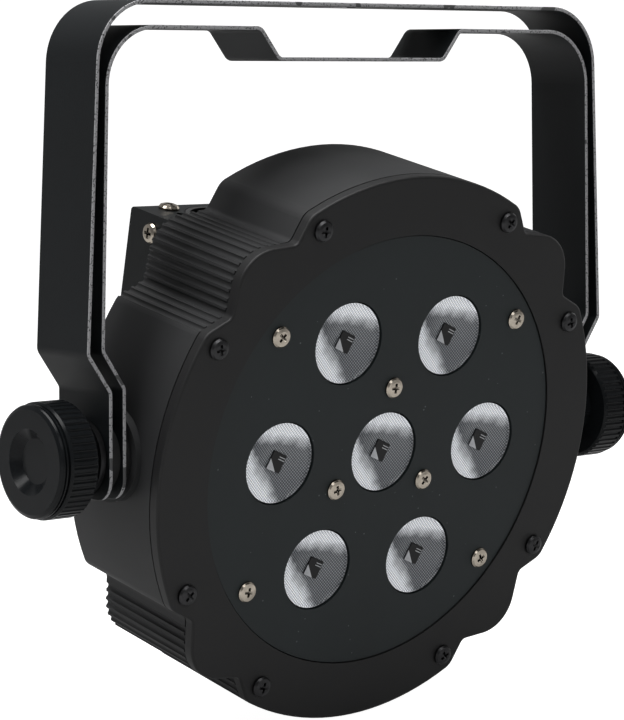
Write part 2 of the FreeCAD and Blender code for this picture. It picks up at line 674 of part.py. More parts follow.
def pivot_parts(side):
    """Boss, pad and bores for one pivot, as (added, removed) shapes."""
    boss = rod(INSERT_RADIUS + INSERT_BOSS_WALL, (side * INSERT_INNER, PIVOT_DEPTH, 0),
               (side * (BIG_LOBE_RADIUS - PAD_ROOT / 2), PIVOT_DEPTH, 0))
    pad = rod(PAD_RADIUS, (side * (BIG_LOBE_RADIUS - PAD_ROOT), PIVOT_DEPTH, 0),
              (side * PAD_FACE, PIVOT_DEPTH, 0))
    pocket = rod(INSERT_RADIUS + TOUCH, (side * (INSERT_INNER - CUT), PIVOT_DEPTH, 0),
                 (side * INSERT_OUTER, PIVOT_DEPTH, 0))
    hole = rod(STUD_HOLE_RADIUS, (side * INSERT_INNER, PIVOT_DEPTH, 0),
               (side * (PAD_FACE + CUT), PIVOT_DEPTH, 0))
    return [boss, pad], [pocket, hole]


def housing_shell():
    outer = outline_solid(0, BEZEL_THICKNESS + SEAM, HOUSING_DEPTH)
    rim = outline_solid(-SEAM, BEZEL_THICKNESS, BEZEL_THICKNESS + SEAM)
    body = join([outer, rim])
    body = body.cut(outline_solid(-WALL, BEZEL_THICKNESS - CUT, BACK_INSIDE))
    inside = outline_solid(-SEAM, BEZEL_THICKNESS, BACK_INSIDE + CUT)
    bosses = [rod(SCREW_BOSS_RADIUS, (x, BEZEL_THICKNESS, z), (x, SCREW_BOSS_DEPTH, z))
              for x, y, z in bezel_screw_places(0)]
    posts = [rod(SINK_POST_RADIUS, (x, SINK_BACK, z), (x, BACK_INSIDE + CUT, z))
             for x, y, z in sink_screw_places(0)]
    spacers = [rod(M3_HEAD_RADIUS, (x, HOUSING_DEPTH - CUT, z),
                   (x, HOUSING_DEPTH + POWER_BOARD_STANDOFF, z))
               for x, y, z in power_board_screw_places(0)]
    added = [Part.makeCompound(bosses).common(inside)] + posts + spacers
    removed = []
    for side in (-1, 1):
        more, less = pivot_parts(side)
        added += more
        removed += less
    body = join([body] + added)
    removed += [rod(M3_HOLE_RADIUS, (x, BEZEL_THICKNESS - CUT, z), (x, SCREW_BOSS_DEPTH - SCREW_BOSS_FLOOR, z))
                for x, y, z in bezel_screw_places(0)]
    removed += [rod(M3_HOLE_RADIUS, (x, SINK_BACK - CUT, z), (x, HOUSING_DEPTH + CUT, z))
                for x, y, z in sink_screw_places(0)]
    removed += [rod(M3_HOLE_RADIUS, (x, BACK_INSIDE - CUT, z), (x, HOUSING_DEPTH + CUT, z))
                for x, y, z in box_screw_places(0)]
    removed += [rod(M3_HOLE_RADIUS, (x, HOUSING_DEPTH - CUT, z), (x, HOUSING_DEPTH + POWER_BOARD_STANDOFF + CUT, z))
                for x, y, z in power_board_screw_places(0)]
    removed.append(block(around(0, WIRE_WINDOW), (BACK_INSIDE - CUT, HOUSING_DEPTH + CUT),
                         around(0, WIRE_WINDOW)))
    removed += vent_slots()
    body = body.cut(removed)
    return body.cut(rib_grooves())


def washer(outer, inner, start, end, side):
    """Washer on the pivot axis, from start to end out from the middle."""
    a = (side * start, PIVOT_DEPTH, 0)
    b = (side * end, PIVOT_DEPTH, 0)
    return rod(outer, a, b).cut(rod(inner, a, b))


def both_sides(make):
    return Part.makeCompound([make(side) for side in (-1, 1)])


# ---- rear box ---------------------------------------------------------------------------
def side_screw_places(side):
    z = BOX_HALF_HEIGHT - SIDE_SCREW_DROP
    y = BOX_BACK - SIDE_SCREW_FORWARD
    return [(side * BOX_HALF_WIDTH, y, z), (side * BOX_HALF_WIDTH, y, -z)]


def socket_screw_places(side):
    return [(side * SOCKET_X + s * SOCKET_SCREW_LONG, SOCKET_Y - s * SOCKET_SCREW_SHORT,
             BOX_HALF_HEIGHT) for s in (-1, 1)]


def display_centre():
    x = -BOX_HALF_WIDTH + SHEET + CONTROL_BOARD_SIDE + CONTROL_BOARD_WIDTH / 2
    return x, POWER_TOP + DISPLAY_RISE


def button_places():
    x, z = display_centre()
    first = x - (BUTTON_COUNT - 1) / 2 * BUTTON_PITCH
    return [(first + i * BUTTON_PITCH, z - BUTTON_DROP) for i in range(BUTTON_COUNT)]


def fuse_centre():
    return BOX_HALF_WIDTH - SHEET - FUSE_SIDE, POWER_TOP + FUSE_RISE


def loop_screw_places():
    x = LOOP_INNER / 2 + LOOP_STRIP + LOOP_FOOT / 2
    z = SOCKET_FLOOR - LOOP_DROP
    return [(-x, BOX_BACK + LOOP_STRIP, z), (x, BOX_BACK + LOOP_STRIP, z)]


def box_holes():
    """Everything cut from the folded box: sockets, window, buttons, fuse and screws."""
    holes = []
    for side in (-1, 1):
        holes.append(rod(SOCKET_HOLE_RADIUS, (side * SOCKET_X, SOCKET_Y, SOCKET_UNDER - CUT),
                         (side * SOCKET_X, SOCKET_Y, BOX_HALF_HEIGHT + CUT)))
        for x, y, z in socket_screw_places(side):
            holes.append(rod(M3_HOLE_RADIUS, (x, y, z - 2 * SHEET), (x, y, z + CUT)))
            pilot_y = y - math.copysign(2 * M3_HEAD_RADIUS, y - SOCKET_Y)
            holes.append(rod(PILOT_RADIUS, (x, pilot_y, z - 2 * SHEET), (x, pilot_y, z + CUT)))
        holes.append(block(around(side * POWER_X, POWER_BODY_WIDTH / 2 + TOUCH),
                           around(POWER_Y, POWER_BODY_DEPTH / 2 + TOUCH),
                           around(-BOX_HALF_HEIGHT, 2 * SHEET)))
        for x, y, z in side_screw_places(side):
            holes.append(rod(M3_HOLE_RADIUS, (x - side * 4 * SHEET, y, z), (x, y, z)))
    x, z = display_centre()
    holes.append(block(around(x, DISPLAY_WIDTH / 2 + TOUCH), (BOX_INSIDE - CUT, BOX_BACK + CUT),
                       around(z, DISPLAY_HEIGHT / 2 + TOUCH)))
    holes += [rod(BUTTON_HOLE_RADIUS, (bx, BOX_INSIDE - CUT, bz), (bx, BOX_BACK + CUT, bz))
              for bx, bz in button_places()]
    x, z = fuse_centre()
    holes.append(rod(FUSE_BODY_RADIUS + TOUCH, (x, BOX_INSIDE - CUT, z), (x, BOX_BACK + CUT, z)))
    holes += [rod(M3_HOLE_RADIUS, (sx, BOX_INSIDE - CUT, sz), (sx, BOX_BACK + CUT, sz))
              for sx, sy, sz in loop_screw_places()]
    holes += [rod(M3_HOLE_RADIUS, (sx, HOUSING_DEPTH - CUT, sz), (sx, HOUSING_DEPTH + SHEET + CUT, sz))
              for sx, sy, sz in box_screw_places(0)]
    return holes


def rear_box():
    """Top, back and floor folded from one sheet, with tabs for the sides and the housing."""
    half = BOX_HALF_WIDTH - SHEET
    high = BOX_HALF_HEIGHT
    whole = block(around(0, half), (HOUSING_DEPTH, BOX_BACK), around(0, high))
    edges = [e for e in whole.Edges
             if e.BoundBox.XLength > half and e.BoundBox.YMin > BOX_INSIDE]
    whole = whole.makeFillet(SHEET, edges)
    body = whole.cut(block(around(0, half + CUT), (HOUSING_DEPTH - CUT, BOX_INSIDE),
                           around(0, high - SHEET)))
    tabs = []
    for sz in (-1, 1):
        tab_z = sorted((sz * high, sz * (high - SHEET - BOX_TAB)))
        tabs.append(block(around(0, BOX_TAB_HALF), (HOUSING_DEPTH, HOUSING_DEPTH + SHEET), tab_z))
        for sx in (-1, 1):
            tab_x = sorted((sx * half, sx * (half - SHEET)))
            middle = BOX_BACK - SIDE_SCREW_FORWARD
            tabs.append(block(tab_x, around(middle, BOX_TAB / 2), tab_z))
    return join([body] + tabs).cut(box_holes())


def rear_box_side(side):
    """Flat side plate of the rear box."""
    x = sorted((side * (BOX_HALF_WIDTH - SHEET), side * BOX_HALF_WIDTH))
    plate = block(x, (HOUSING_DEPTH, BOX_BACK), around(0, BOX_HALF_HEIGHT))
    back = [e for e in plate.Edges
            if e.BoundBox.XLength > SHEET / 2 and e.BoundBox.YMin > BOX_INSIDE]
    plate = plate.makeFillet(SHEET, back)
    holes = [rod(M3_HOLE_RADIUS, (px - side * 4 * SHEET, y, z), (px + side * CUT, y, z))
             for px, y, z in side_screw_places(side)]
    return plate.cut(holes)


def socket_body(side):
    """Flange under the box's top, ring in its hole and barrel below."""
    x = side * SOCKET_X
    under = SOCKET_UNDER
    flange = block(around(x, SOCKET_FLANGE_LONG / 2), around(SOCKET_Y, SOCKET_FLANGE_SHORT / 2),
                   (under - SOCKET_FLANGE, under))
    corners = [e for e in flange.Edges if e.BoundBox.ZLength > SOCKET_FLANGE / 2]
    flange = flange.makeFillet(SOCKET_FLANGE, corners)
    ring = rod(SOCKET_RING_RADIUS, (x, SOCKET_Y, under - CUT), (x, SOCKET_Y, BOX_HALF_HEIGHT))
    barrel = rod(SOCKET_BODY_RADIUS, (x, SOCKET_Y, SOCKET_FLOOR), (x, SOCKET_Y, under - CUT))
    screws = [rod(M3_HOLE_RADIUS, (sx, sy, under - SOCKET_FLANGE - CUT), (sx, sy, under + CUT))
              for sx, sy, sz in socket_screw_places(side)]
    return join([flange, ring, barrel]).cut(screws)


def pin_places(side):
    spots = [polar(PIN_CIRCLE, 120 * i) for i in range(3)]
    return [(side * SOCKET_X + p.x, SOCKET_Y + p.z) for p in spots]


def dmx_in_socket():
    """Socket with an open bore; its pins are separate pieces."""
    x = -SOCKET_X
    floor = BOX_HALF_HEIGHT - SOCKET_BORE_DEPTH
    bore = rod(SOCKET_BORE_RADIUS, (x, SOCKET_Y, floor), (x, SOCKET_Y, BOX_HALF_HEIGHT + CUT))
    holes = [rod(PIN_RADIUS + TOUCH, (px, py, SOCKET_FLOOR - CUT), (px, py, floor + CUT))
             for px, py in pin_places(-1)]
    return socket_body(-1).cut([bore] + holes)


def dmx_in_pins():
    floor = BOX_HALF_HEIGHT - SOCKET_BORE_DEPTH
    pins = []
    for px, py in pin_places(-1):
        pin = rod(PIN_RADIUS, (px, py, SOCKET_FLOOR - PIN_TAIL), (px, py, floor + PIN_LENGTH))
        tip = [e for e in pin.Edges if e.BoundBox.ZMin > floor + PIN_LENGTH - TOUCH]
        pins.append(pin.makeFillet(PIN_ROUNDING * PIN_RADIUS, tip))
    return Part.makeCompound(pins)


def latch_box(grow, bottom, top):
    """Block in the outlet socket's ring, on its outer side."""
    x = SOCKET_X
    return block((x + SOCKET_BORE_RADIUS + LATCH_INSET - grow, x + SOCKET_RING_RADIUS - PIN_PLAY + grow),
                 around(SOCKET_Y, LATCH_WIDTH / 2 + grow), (bottom, top))


def dmx_out_socket():
    """Socket with a moulded insert: a moat round it, three contact holes and a latch slot."""
    x = SOCKET_X
    high = BOX_HALF_HEIGHT
    floor = high - SOCKET_BORE_DEPTH
    moat = rod(SOCKET_BORE_RADIUS, (x, SOCKET_Y, floor), (x, SOCKET_Y, high + CUT))
    insert = rod(SOCKET_INSERT_RADIUS, (x, SOCKET_Y, floor), (x, SOCKET_Y, high - SOCKET_INSERT_DROP))
    holes = [rod(PIN_RADIUS + PIN_PLAY, (px, py, floor + CUT), (px, py, high + CUT))
             for px, py in pin_places(1)]
    slot = latch_box(MOVE_GAP, high - LATCH_LENGTH - LATCH_TRAVEL, high + CUT)
    return socket_body(1).cut([moat.cut(insert), slot] + holes)


def dmx_latch():
    top = BOX_HALF_HEIGHT + LATCH_PROUD
    body = latch_box(0, BOX_HALF_HEIGHT - LATCH_LENGTH + MOVE_GAP, top)
    edges = [e for e in body.Edges if e.BoundBox.ZMin > top - TOUCH and e.BoundBox.YLength > LATCH_WIDTH / 2]
    return body.makeFillet(MOVE_GAP, edges)


def power_body(side):
    """Flange outside the box's floor and body through it."""
    x = side * POWER_X
    low = -BOX_HALF_HEIGHT
    flange = block(around(x, POWER_FLANGE_WIDTH / 2), around(POWER_Y, POWER_FLANGE_DEPTH / 2),
                   (low - POWER_FLANGE, low))
    corners = [e for e in flange.Edges if e.BoundBox.ZLength > POWER_FLANGE / 2]
    flange = flange.makeFillet(POWER_FLANGE, corners)
    body = block(around(x, POWER_BODY_WIDTH / 2), around(POWER_Y, POWER_BODY_DEPTH / 2),
                 (low - POWER_FLANGE / 2, POWER_TOP))
    return join([flange, body])


def plug_section(side, shrink, bottom, top):
    """Inlet-shaped prism: a rectangle with two corners cut off."""
    x = side * POWER_X
    hx = INLET_WIDTH / 2 - shrink
    hy = INLET_DEPTH / 2 - shrink
    corner = INLET_CORNER
    points = [(x - hx, POWER_Y - hy), (x + hx, POWER_Y - hy), (x + hx, POWER_Y + hy - corner),
              (x + hx - corner, POWER_Y + hy), (x - hx + corner, POWER_Y + hy),
              (x - hx, POWER_Y + hy - corner)]
    face = Part.Face(Part.makePolygon([V(px, py, bottom) for px, py in points + points[:1]]))
    return face.extrude(V(0, 0, top - bottom))


def blade_places(side):
    x = side * POWER_X
    y = POWER_Y - BLADE_SHIFT
    return [(x - BLADE_SIDE, y), (x, y + BLADE_EARTH), (x + BLADE_SIDE, y)]


def blades(side, grow, bottom, top):
    return [block(around(x, BLADE_WIDTH / 2 + grow), around(y, BLADE_DEPTH / 2 + grow), (bottom, top))
            for x, y in blade_places(side)]


def power_inlet():
    mouth = -BOX_HALF_HEIGHT - POWER_FLANGE
    roof = mouth + INLET_CAVITY
    cavity = plug_section(-1, 0, mouth - CUT, roof)
    return power_body(-1).cut([cavity] + blades(-1, TOUCH, roof - CUT, POWER_TOP + CUT))


def inlet_pins():
    roof = -BOX_HALF_HEIGHT - POWER_FLANGE + INLET_CAVITY
    return Part.makeCompound(blades(-1, 0, roof - BLADE_LENGTH, POWER_TOP + BLADE_TAIL))


def power_outlet():
    mouth = -BOX_HALF_HEIGHT - POWER_FLANGE
    roof = mouth + INLET_CAVITY
    moat = plug_section(1, 0, mouth - CUT, roof).cut(plug_section(1, OUTLET_MOAT, mouth - CUT, roof))
    return power_body(1).cut([moat] + blades(1, 2 * TOUCH, mouth - CUT, roof))


def fuse_holder():
    x, z = fuse_centre()
    start = BOX_BACK - FUSE_BODY_LENGTH
    body = rod(FUSE_BODY_RADIUS, (x, start, z), (x, BOX_BACK + CUT, z))
    flange = rod(FUSE_FLANGE_RADIUS, (x, BOX_BACK, z), (x, BOX_BACK + FUSE_FLANGE, z))
    seat = rod(FUSE_CAP_RADIUS + FUSE_FIT,
               (x, BOX_BACK - FUSE_CAP_INSIDE - MOVE_GAP, z), (x, BOX_BACK + FUSE_FLANGE + CUT, z))
    bore = rod(FUSE_RADIUS + FUSE_FIT, (x, start + FUSE_HOLDER_FLOOR, z), (x, BOX_BACK, z))
    return join([body, flange]).cut([seat, bore])


def fuse_cap():
    """Bayonet cap with a screwdriver slot and a pocket for the fuse."""
    x, z = fuse_centre()
    end = BOX_BACK + FUSE_FLANGE + FUSE_CAP_PROUD
    start = BOX_BACK - FUSE_CAP_INSIDE
    cap = rod(FUSE_CAP_RADIUS, (x, start, z), (x, end, z))
    rim = [e for e in cap.Edges if e.BoundBox.YMin > end - TOUCH]
    cap = cap.makeFillet(EDGE_SOFT, rim)
    slot = block(around(x, FUSE_CAP_RADIUS), (end - FUSE_SLOT_DEPTH, end + CUT),
                 around(z, FUSE_SLOT_HALF))
    pocket = rod(FUSE_RADIUS + TOUCH, (x, start - CUT, z), (x, start + FUSE_POCKET, z))
    return cap.cut([slot, pocket])


def fuse():
    x, z = fuse_centre()
    end = BOX_BACK - FUSE_CAP_INSIDE + FUSE_POCKET - TOUCH
    return rod(FUSE_RADIUS, (x, end - FUSE_LENGTH, z), (x, end, z))


# ---- electronics ------------------------------------------------------------------------
def control_levels():
    """Depths of the display's front and back and of the control board's front."""
    front = BOX_INSIDE - TOUCH
    back = front - DISPLAY_DEPTH
    return front, back, back - BOARD_THICKNESS


def control_board():
    """Circuit board with its four push switches."""
    front, back, board = control_levels()
    x, z = display_centre()
    low = POWER_TOP + CONTROL_BOARD_GAP
    sheet = block(around(x, CONTROL_BOARD_WIDTH / 2), (board, back), (low, low + CONTROL_BOARD_HEIGHT))
    switches = [block(around(bx, SWITCH_SIDE / 2), (back - TOUCH, back + SWITCH_HEIGHT - SWITCH_INSET),
                      around(bz, SWITCH_SIDE / 2)) for bx, bz in button_places()]
    return join([sheet] + switches)


def display_module():
    front, back, board = control_levels()
    x, z = display_centre()
    return block(around(x, DISPLAY_WIDTH / 2 - DISPLAY_BEZEL), (back, front),
                 around(z, DISPLAY_HEIGHT / 2 - DISPLAY_BEZEL))


def display_window():
    x, z = display_centre()
    return block(around(x, DISPLAY_WIDTH / 2), (BOX_INSIDE, BOX_BACK - TOUCH),
                 around(z, DISPLAY_HEIGHT / 2))


def menu_button(place):
    """Button cap with a collar behind the sheet, over its switch."""
    x, z = place
    end = BOX_BACK + BUTTON_PROUD
    start = control_levels()[1] + SWITCH_HEIGHT - SWITCH_INSET + BUTTON_TRAVEL + MOVE_GAP
    cap = rod(BUTTON_RADIUS, (x, start, z), (x, end, z))
    rim = [e for e in cap.Edges if e.BoundBox.YMin > end - TOUCH]
    cap = cap.makeFillet(EDGE_SOFT, rim)
    collar = rod(BUTTON_COLLAR_RADIUS, (x, BOX_INSIDE - MOVE_GAP - BUTTON_COLLAR, z),
                 (x, BOX_INSIDE - MOVE_GAP, z))
    return join([cap, collar])


def power_board_levels():
    front = HOUSING_DEPTH + POWER_BOARD_STANDOFF
    return front, front + BOARD_THICKNESS


def power_board():
    front, back = power_board_levels()
    half_height = SERVICE_GAP / 2 - POWER_BOARD_MARGIN
    middle = (SOCKET_FLOOR + POWER_TOP) / 2
    sheet = block(around(0, POWER_BOARD_HALF), (front, back), around(middle, half_height))
    holes = [rod(M3_HOLE_RADIUS, (x, front - CUT, z), (x, back + CUT, z))
             for x, y, z in power_board_screw_places(0)]
    return sheet.cut(holes)


def power_components():
    """Transformer and two capacitors, standing on the power board."""
    back = power_board_levels()[1]
    middle = (SOCKET_FLOOR + POWER_TOP) / 2
    width, depth, height = TRANSFORMER
    transformer = block(around(-width / 2, width / 2), (back, back + depth), around(middle, height / 2))
    edges = [e for e in transformer.Edges if e.BoundBox.YLength > depth / 2]
    parts = [transformer.makeFillet(TRANSFORMER_EDGE, edges)]
    x = CAPACITOR_RADIUS + CAPACITOR_GAP
    for side in (-1, 1):
        z = middle + side * (CAPACITOR_RADIUS + CAPACITOR_GAP / 2)
        parts.append(rod(CAPACITOR_RADIUS, (x, back, z), (x, back + CAPACITOR_LENGTH, z)))
    return Part.makeCompound(parts)


# ---- safety loop ------------------------------------------------------------------------
def strip_section(points, radii, thickness):
    """Edges of a bent strip's section: points on its middle line, a bend radius at each turn."""
    sides = {1: [], -1: []}
    for s in sides:
        start = points[0]
        for before, corner, after, radius in zip(points, points[1:], points[2:], radii):
            way_in = (corner - before).normalize()
            way_out = (after - corner).normalize()
            turn = way_in.getAngle(way_out)
            reach = radius * math.tan(turn / 2)
            left = V(-way_in.z, 0, way_in.x)
            inward = 1 if left.dot(way_out) > 0 else -1
            centre = corner - way_in * reach + left * (inward * radius)
            bend = radius - s * inward * thickness / 2
            normal_in = left * -inward
            normal_out = V(-way_out.z, 0, way_out.x) * -inward
            side_start = start + left * (s * thickness / 2) if not sides[s] else sides[s][-1][1]
            enter = centre + normal_in * bend
            leave = centre + normal_out * bend
            middle = centre + (normal_in + normal_out).normalize() * bend
            sides[s].append((side_start, enter, None))
            sides[s].append((enter, leave, middle))
        last_way = (points[-1] - points[-2]).normalize()
        end = points[-1] + V(-last_way.z, 0, last_way.x) * (s * thickness / 2)
        sides[s].append((sides[s][-1][1], end, None))
    edges = []
    for s in sides:
        for a, b, mid in sides[s]:
            edges.append(Part.LineSegment(a, b).toShape() if mid is None
                         else Part.Arc(a, mid, b).toShape())
    edges.append(Part.LineSegment(sides[1][0][0], sides[-1][0][0]).toShape())
    edges.append(Part.LineSegment(sides[1][-1][1], sides[-1][-1][1]).toShape())
    return edges


def bent_strip(points, radii, thickness, width):
    """Strip bent along points in the XZ plane, centred on y=0."""
    face = Part.Face(Part.Wire(Part.__sortEdges__(strip_section(points, radii, thickness))))
    face.translate(V(0, -width / 2, 0))
    return face.extrude(V(0, width, 0))


def safety_loop():
    """Flat steel strap with a hump for the safety cable, screwed to the box's back."""
    half = LOOP_INNER / 2 + LOOP_STRIP / 2
    foot = half + LOOP_FOOT
    low = LOOP_STRIP / 2
    high = LOOP_HEIGHT + 1.5 * LOOP_STRIP
    points = [V(-foot, 0, low), V(-half, 0, low), V(-half, 0, high), V(half, 0, high),
              V(half, 0, low), V(foot, 0, low)]
    strap = bent_strip(points, [LOOP_BEND] * 4, LOOP_STRIP, LOOP_WIDTH)
    strap.rotate(V(0, 0, 0), V(1, 0, 0), -90)
    strap.translate(V(0, BOX_BACK, SOCKET_FLOOR - LOOP_DROP))
    holes = [rod(M3_HOLE_RADIUS, (x, y - LOOP_STRIP - CUT, z), (x, y + CUT, z))
             for x, y, z in loop_screw_places()]
    return strap.cut(holes)


# ---- knobs ------------------------------------------------------------------------------
def knob():
    """Ribbed knob on a hub, drawn along -X from the hub's face at x=0, with a bore for the stud."""
    start = KNOB_HUB
    rib = start + KNOB_RIB_LENGTH
    end = KNOB_LENGTH
    rim = KNOB_RIM_RADIUS
    floor = end - KNOB_RECESS_DEPTH
    profile = [(0, 0), (KNOB_HUB_RADIUS, 0), (KNOB_HUB_RADIUS, start),
               (KNOB_RADIUS - KNOB_CHAMFER, start), (KNOB_RADIUS, start + KNOB_CHAMFER),
               (KNOB_RADIUS, rib)]
    profile += [(radius, rib + past) for radius, past in KNOB_RIM_STEPS]
    profile += [(rim, end - KNOB_RIM_LENGTH), (rim - MOVE_GAP, end - KNOB_RIM_LENGTH / 2),
                (KNOB_FACE_RADIUS, end), (KNOB_RECESS_RADIUS, end), (KNOB_RECESS_FLOOR, floor),
                (0, floor)]
    body = turned([(-x, r, 0) for r, x in profile], (0, 0, 0), (1, 0, 0))
    grooves = []
    for i in range(KNOB_RIBS):
        p = polar(KNOB_RADIUS + KNOB_GROOVE_SHIFT, i * 360.0 / KNOB_RIBS)
        grooves.append(rod(KNOB_GROOVE, (CUT - start, p.x, p.z),
                           (KNOB_RIB_OVERLAP - rib, p.x, p.z)))
    bore = rod(STUD_RADIUS + TOUCH, (CUT, 0, 0), (-STUD_GRIP - TOUCH, 0, 0))
    return body.cut(grooves + [bore])


def on_side(shape, side, inboard):
    """Copy of a shape drawn along -X, put on one side of the head at the pivot."""
    copy = shape.copy()
    turn = FreeCAD.Rotation(V(0, 0, 1), 0 if side < 0 else 180)
    copy.Placement = FreeCAD.Placement(V(side * inboard, PIVOT_DEPTH, 0), turn)
    return copy


def stud(side):
    """Steel stud from inside the insert into the knob."""
    start = INSERT_INNER + 1
    end = KNOB_INSIDE + STUD_GRIP
    body = rod(STUD_RADIUS, (side * start, PIVOT_DEPTH, 0), (side * end, PIVOT_DEPTH, 0))
    tip = [e for e in body.Edges if abs(e.BoundBox.Center.x) < start + TOUCH]
    return body.makeChamfer(STUD_CHAMFER, tip)


# ---- brackets ---------------------------------------------------------------------------
def bracket_arm(half, step, start, rise, lean, top):
    """Middle-line points of one arm, from its lower end up to the corner at the top."""
    mid = half - STRIP / 2
    return [V(mid, 0, -STRIP_END_DROP), V(mid, 0, start), V(mid + step, 0, start + rise),
            V(mid + step - lean, 0, top - STRIP / 2)]


def finish_strap(strap):
    """Rounded lower ends, softened long edges and the pivot holes."""
    ends = [e for e in strap.Edges
            if e.BoundBox.ZMax < -STRIP_END_DROP + TOUCH and e.BoundBox.XLength > STRIP / 2]
    strap = strap.makeFillet(STRIP_END_RADIUS, ends)
    side = STRIP_WIDTH / 2
    long_edges = [e for e in strap.Edges
                  if e.BoundBox.YLength < TOUCH and abs(abs(e.BoundBox.Center.y) - side) < TOUCH]
    strap = strap.makeFillet(STRIP_EDGE, long_edges)
    reach = OUTER_HALF + OUTER_STEP + STRIP
    hole = rod(STUD_HOLE_RADIUS, (-reach, 0, 0), (reach, 0, 0))
    return strap.cut(hole)


def mirrored_path(arm, middle):
    """Full path from the right arm's foot over the top to the left arm's foot."""
    left = [V(-p.x, 0, p.z) for p in reversed(arm)]
    return arm + middle + left


def outer_bracket():
    arm = bracket_arm(OUTER_HALF, OUTER_STEP, OUTER_STEP_START, OUTER_STEP_RISE,
                      OUTER_LEAN, OUTER_TOP)
    path = mirrored_path(arm, [])
    corner = OUTER_CORNER - STRIP / 2
    radii = [BEND_RADIUS, BEND_RADIUS, corner, corner, BEND_RADIUS, BEND_RADIUS]
    strap = finish_strap(bent_strip(path, radii, STRIP, STRIP_WIDTH))
    hole = rod(HANGING_HOLE_RADIUS, (0, 0, OUTER_TOP - 2 * STRIP), (0, 0, OUTER_TOP + STRIP))
    return strap.cut(hole)


def inner_bracket():
    arm = bracket_arm(INNER_HALF, INNER_STEP, INNER_STEP_START, INNER_STEP_RISE,
                      INNER_LEAN, INNER_TOP)
    top = INNER_TOP - STRIP / 2
    floor = top - DIP_DEPTH
    dip = [V(DIP_TOP_HALF, 0, top), V(DIP_FLOOR_HALF, 0, floor),
           V(-DIP_FLOOR_HALF, 0, floor), V(-DIP_TOP_HALF, 0, top)]
    path = mirrored_path(arm, dip)
    corner = INNER_CORNER - STRIP / 2
    radii = ([BEND_RADIUS, BEND_RADIUS, corner] + [BEND_RADIUS] * 4
             + [corner, BEND_RADIUS, BEND_RADIUS])
    strap = finish_strap(bent_strip(path, radii, STRIP, STRIP_WIDTH))
    hole = rod(HANGING_HOLE_RADIUS, (0, 0, floor - STRIP), (0, 0, floor + STRIP))
    return strap.cut(hole)


# ---- the whole light --------------------------------------------------------------------
def head_nodes():
    """Every piece that tilts with the lamp head, in the lamp frame."""
    nodes = {
        "front_bezel": front_bezel(),
        "housing_shell": housing_shell(),
        "front_panel": front_panel(),
        "bezel_screws": screw_group(pan_screw(BEZEL_SCREW), bezel_screw_places(0)),
        "panel_screws": screw_group(pan_screw(PANEL_SCREW, M3_PANEL_HEAD_HEIGHT),
                                    panel_screw_places(PANEL_RECESS)),
        "lens_holders": Part.makeCompound(at_lenses(lens_holder())),
        "led_emitters": Part.makeCompound(at_lenses(emitter())),
        "led_board": led_board(),
        "panel_standoffs": panel_standoffs(),
        "board_screws": screw_group(pan_screw(BOARD_THICKNESS + SCREW_GRIP), board_screw_places(BOARD_FRONT)),
        "heat_sink": heat_sink(),
        "sink_screws": screw_group(pan_screw(HOUSING_DEPTH - SINK_BACK + SCREW_GRIP),
                                   sink_screw_places(HOUSING_DEPTH), (0, 1, 0)),
        "led_cable": rod(CABLE_RADIUS, (0, BOARD_BACK, 0), (0, power_board_levels()[0], 0)),
        "pivot_inserts": both_sides(lambda s: washer(
            INSERT_RADIUS, STUD_RADIUS + STUD_FIT, INSERT_INNER, INSERT_OUTER, s)),
        "friction_washers": both_sides(lambda s: washer(
            WASHER_RADIUS, STUD_HOLE_RADIUS, PAD_FACE, PAD_FACE + FRICTION_WASHER, s)),
        "rear_box": rear_box(),
        "rear_box_side_left": rear_box_side(-1),
        "rear_box_side_right": rear_box_side(1),
        "side_screws": Part.makeCompound(
            [screw_group(pan_screw(SHEET_SCREW), side_screw_places(s), (s, 0, 0)) for s in (-1, 1)]),
        "box_screws": screw_group(pan_screw(BACK_WALL + SHEET, M3_PANEL_HEAD_HEIGHT),
                                  box_screw_places(BACK_INSIDE)),
        "dmx_in_socket": dmx_in_socket(),
        "dmx_in_pins": dmx_in_pins(),
        "dmx_out_socket": dmx_out_socket(),
        "dmx_latch": dmx_latch(),
        "socket_screws": Part.makeCompound(
            [screw_group(pan_screw(SHEET_SCREW), socket_screw_places(s), (0, 0, 1)) for s in (-1, 1)]),
        "power_inlet": power_inlet(),
        "inlet_pins": inlet_pins(),
        "power_outlet": power_outlet(),
        "fuse_holder": fuse_holder(),
        "fuse_cap": fuse_cap(),
        "fuse": fuse(),
        "control_board": control_board(),
        "display_module": display_module(),
        "display_window": display_window(),
        "power_board": power_board(),
        "power_components": power_components(),
        "power_board_screws": screw_group(
            pan_screw(BOARD_THICKNESS + SCREW_GRIP), power_board_screw_places(power_board_levels()[1]),
            (0, 1, 0)),
        "safety_loop": safety_loop(),
        "loop_screws": screw_group(pan_screw(SHEET_SCREW), loop_screw_places(), (0, 1, 0))}
    for i, shape in enumerate(at_lenses(lens())):
        nodes["lens_%d" % (i + 1)] = shape
    for i, place in enumerate(button_places()):
        nodes["menu_button_%d" % (i + 1)] = menu_button(place)
    for name, side in (("left", -1), ("right", 1)):
        nodes["knob_" + name] = on_side(knob(), side, KNOB_INSIDE)
        nodes["stud_" + name] = stud(side)
        nodes["clamp_washer_" + name] = washer(
            WASHER_RADIUS, STUD_HOLE_RADIUS, CLAMP_INSIDE, CLAMP_INSIDE + CLAMP_WASHER, side)
    return nodes


def bracket_nodes():
    """The two brackets and what turns with them, about the pivot."""
    spacers = both_sides(lambda s: washer(
        WASHER_RADIUS, STUD_HOLE_RADIUS, INNER_HALF, INNER_HALF + SPACER_WASHER, s))
    spacers.translate(V(0, -PIVOT_DEPTH, 0))
    return {"outer_bracket": outer_bracket(), "inner_bracket": inner_bracket(),
            "spacer_washers": spacers}


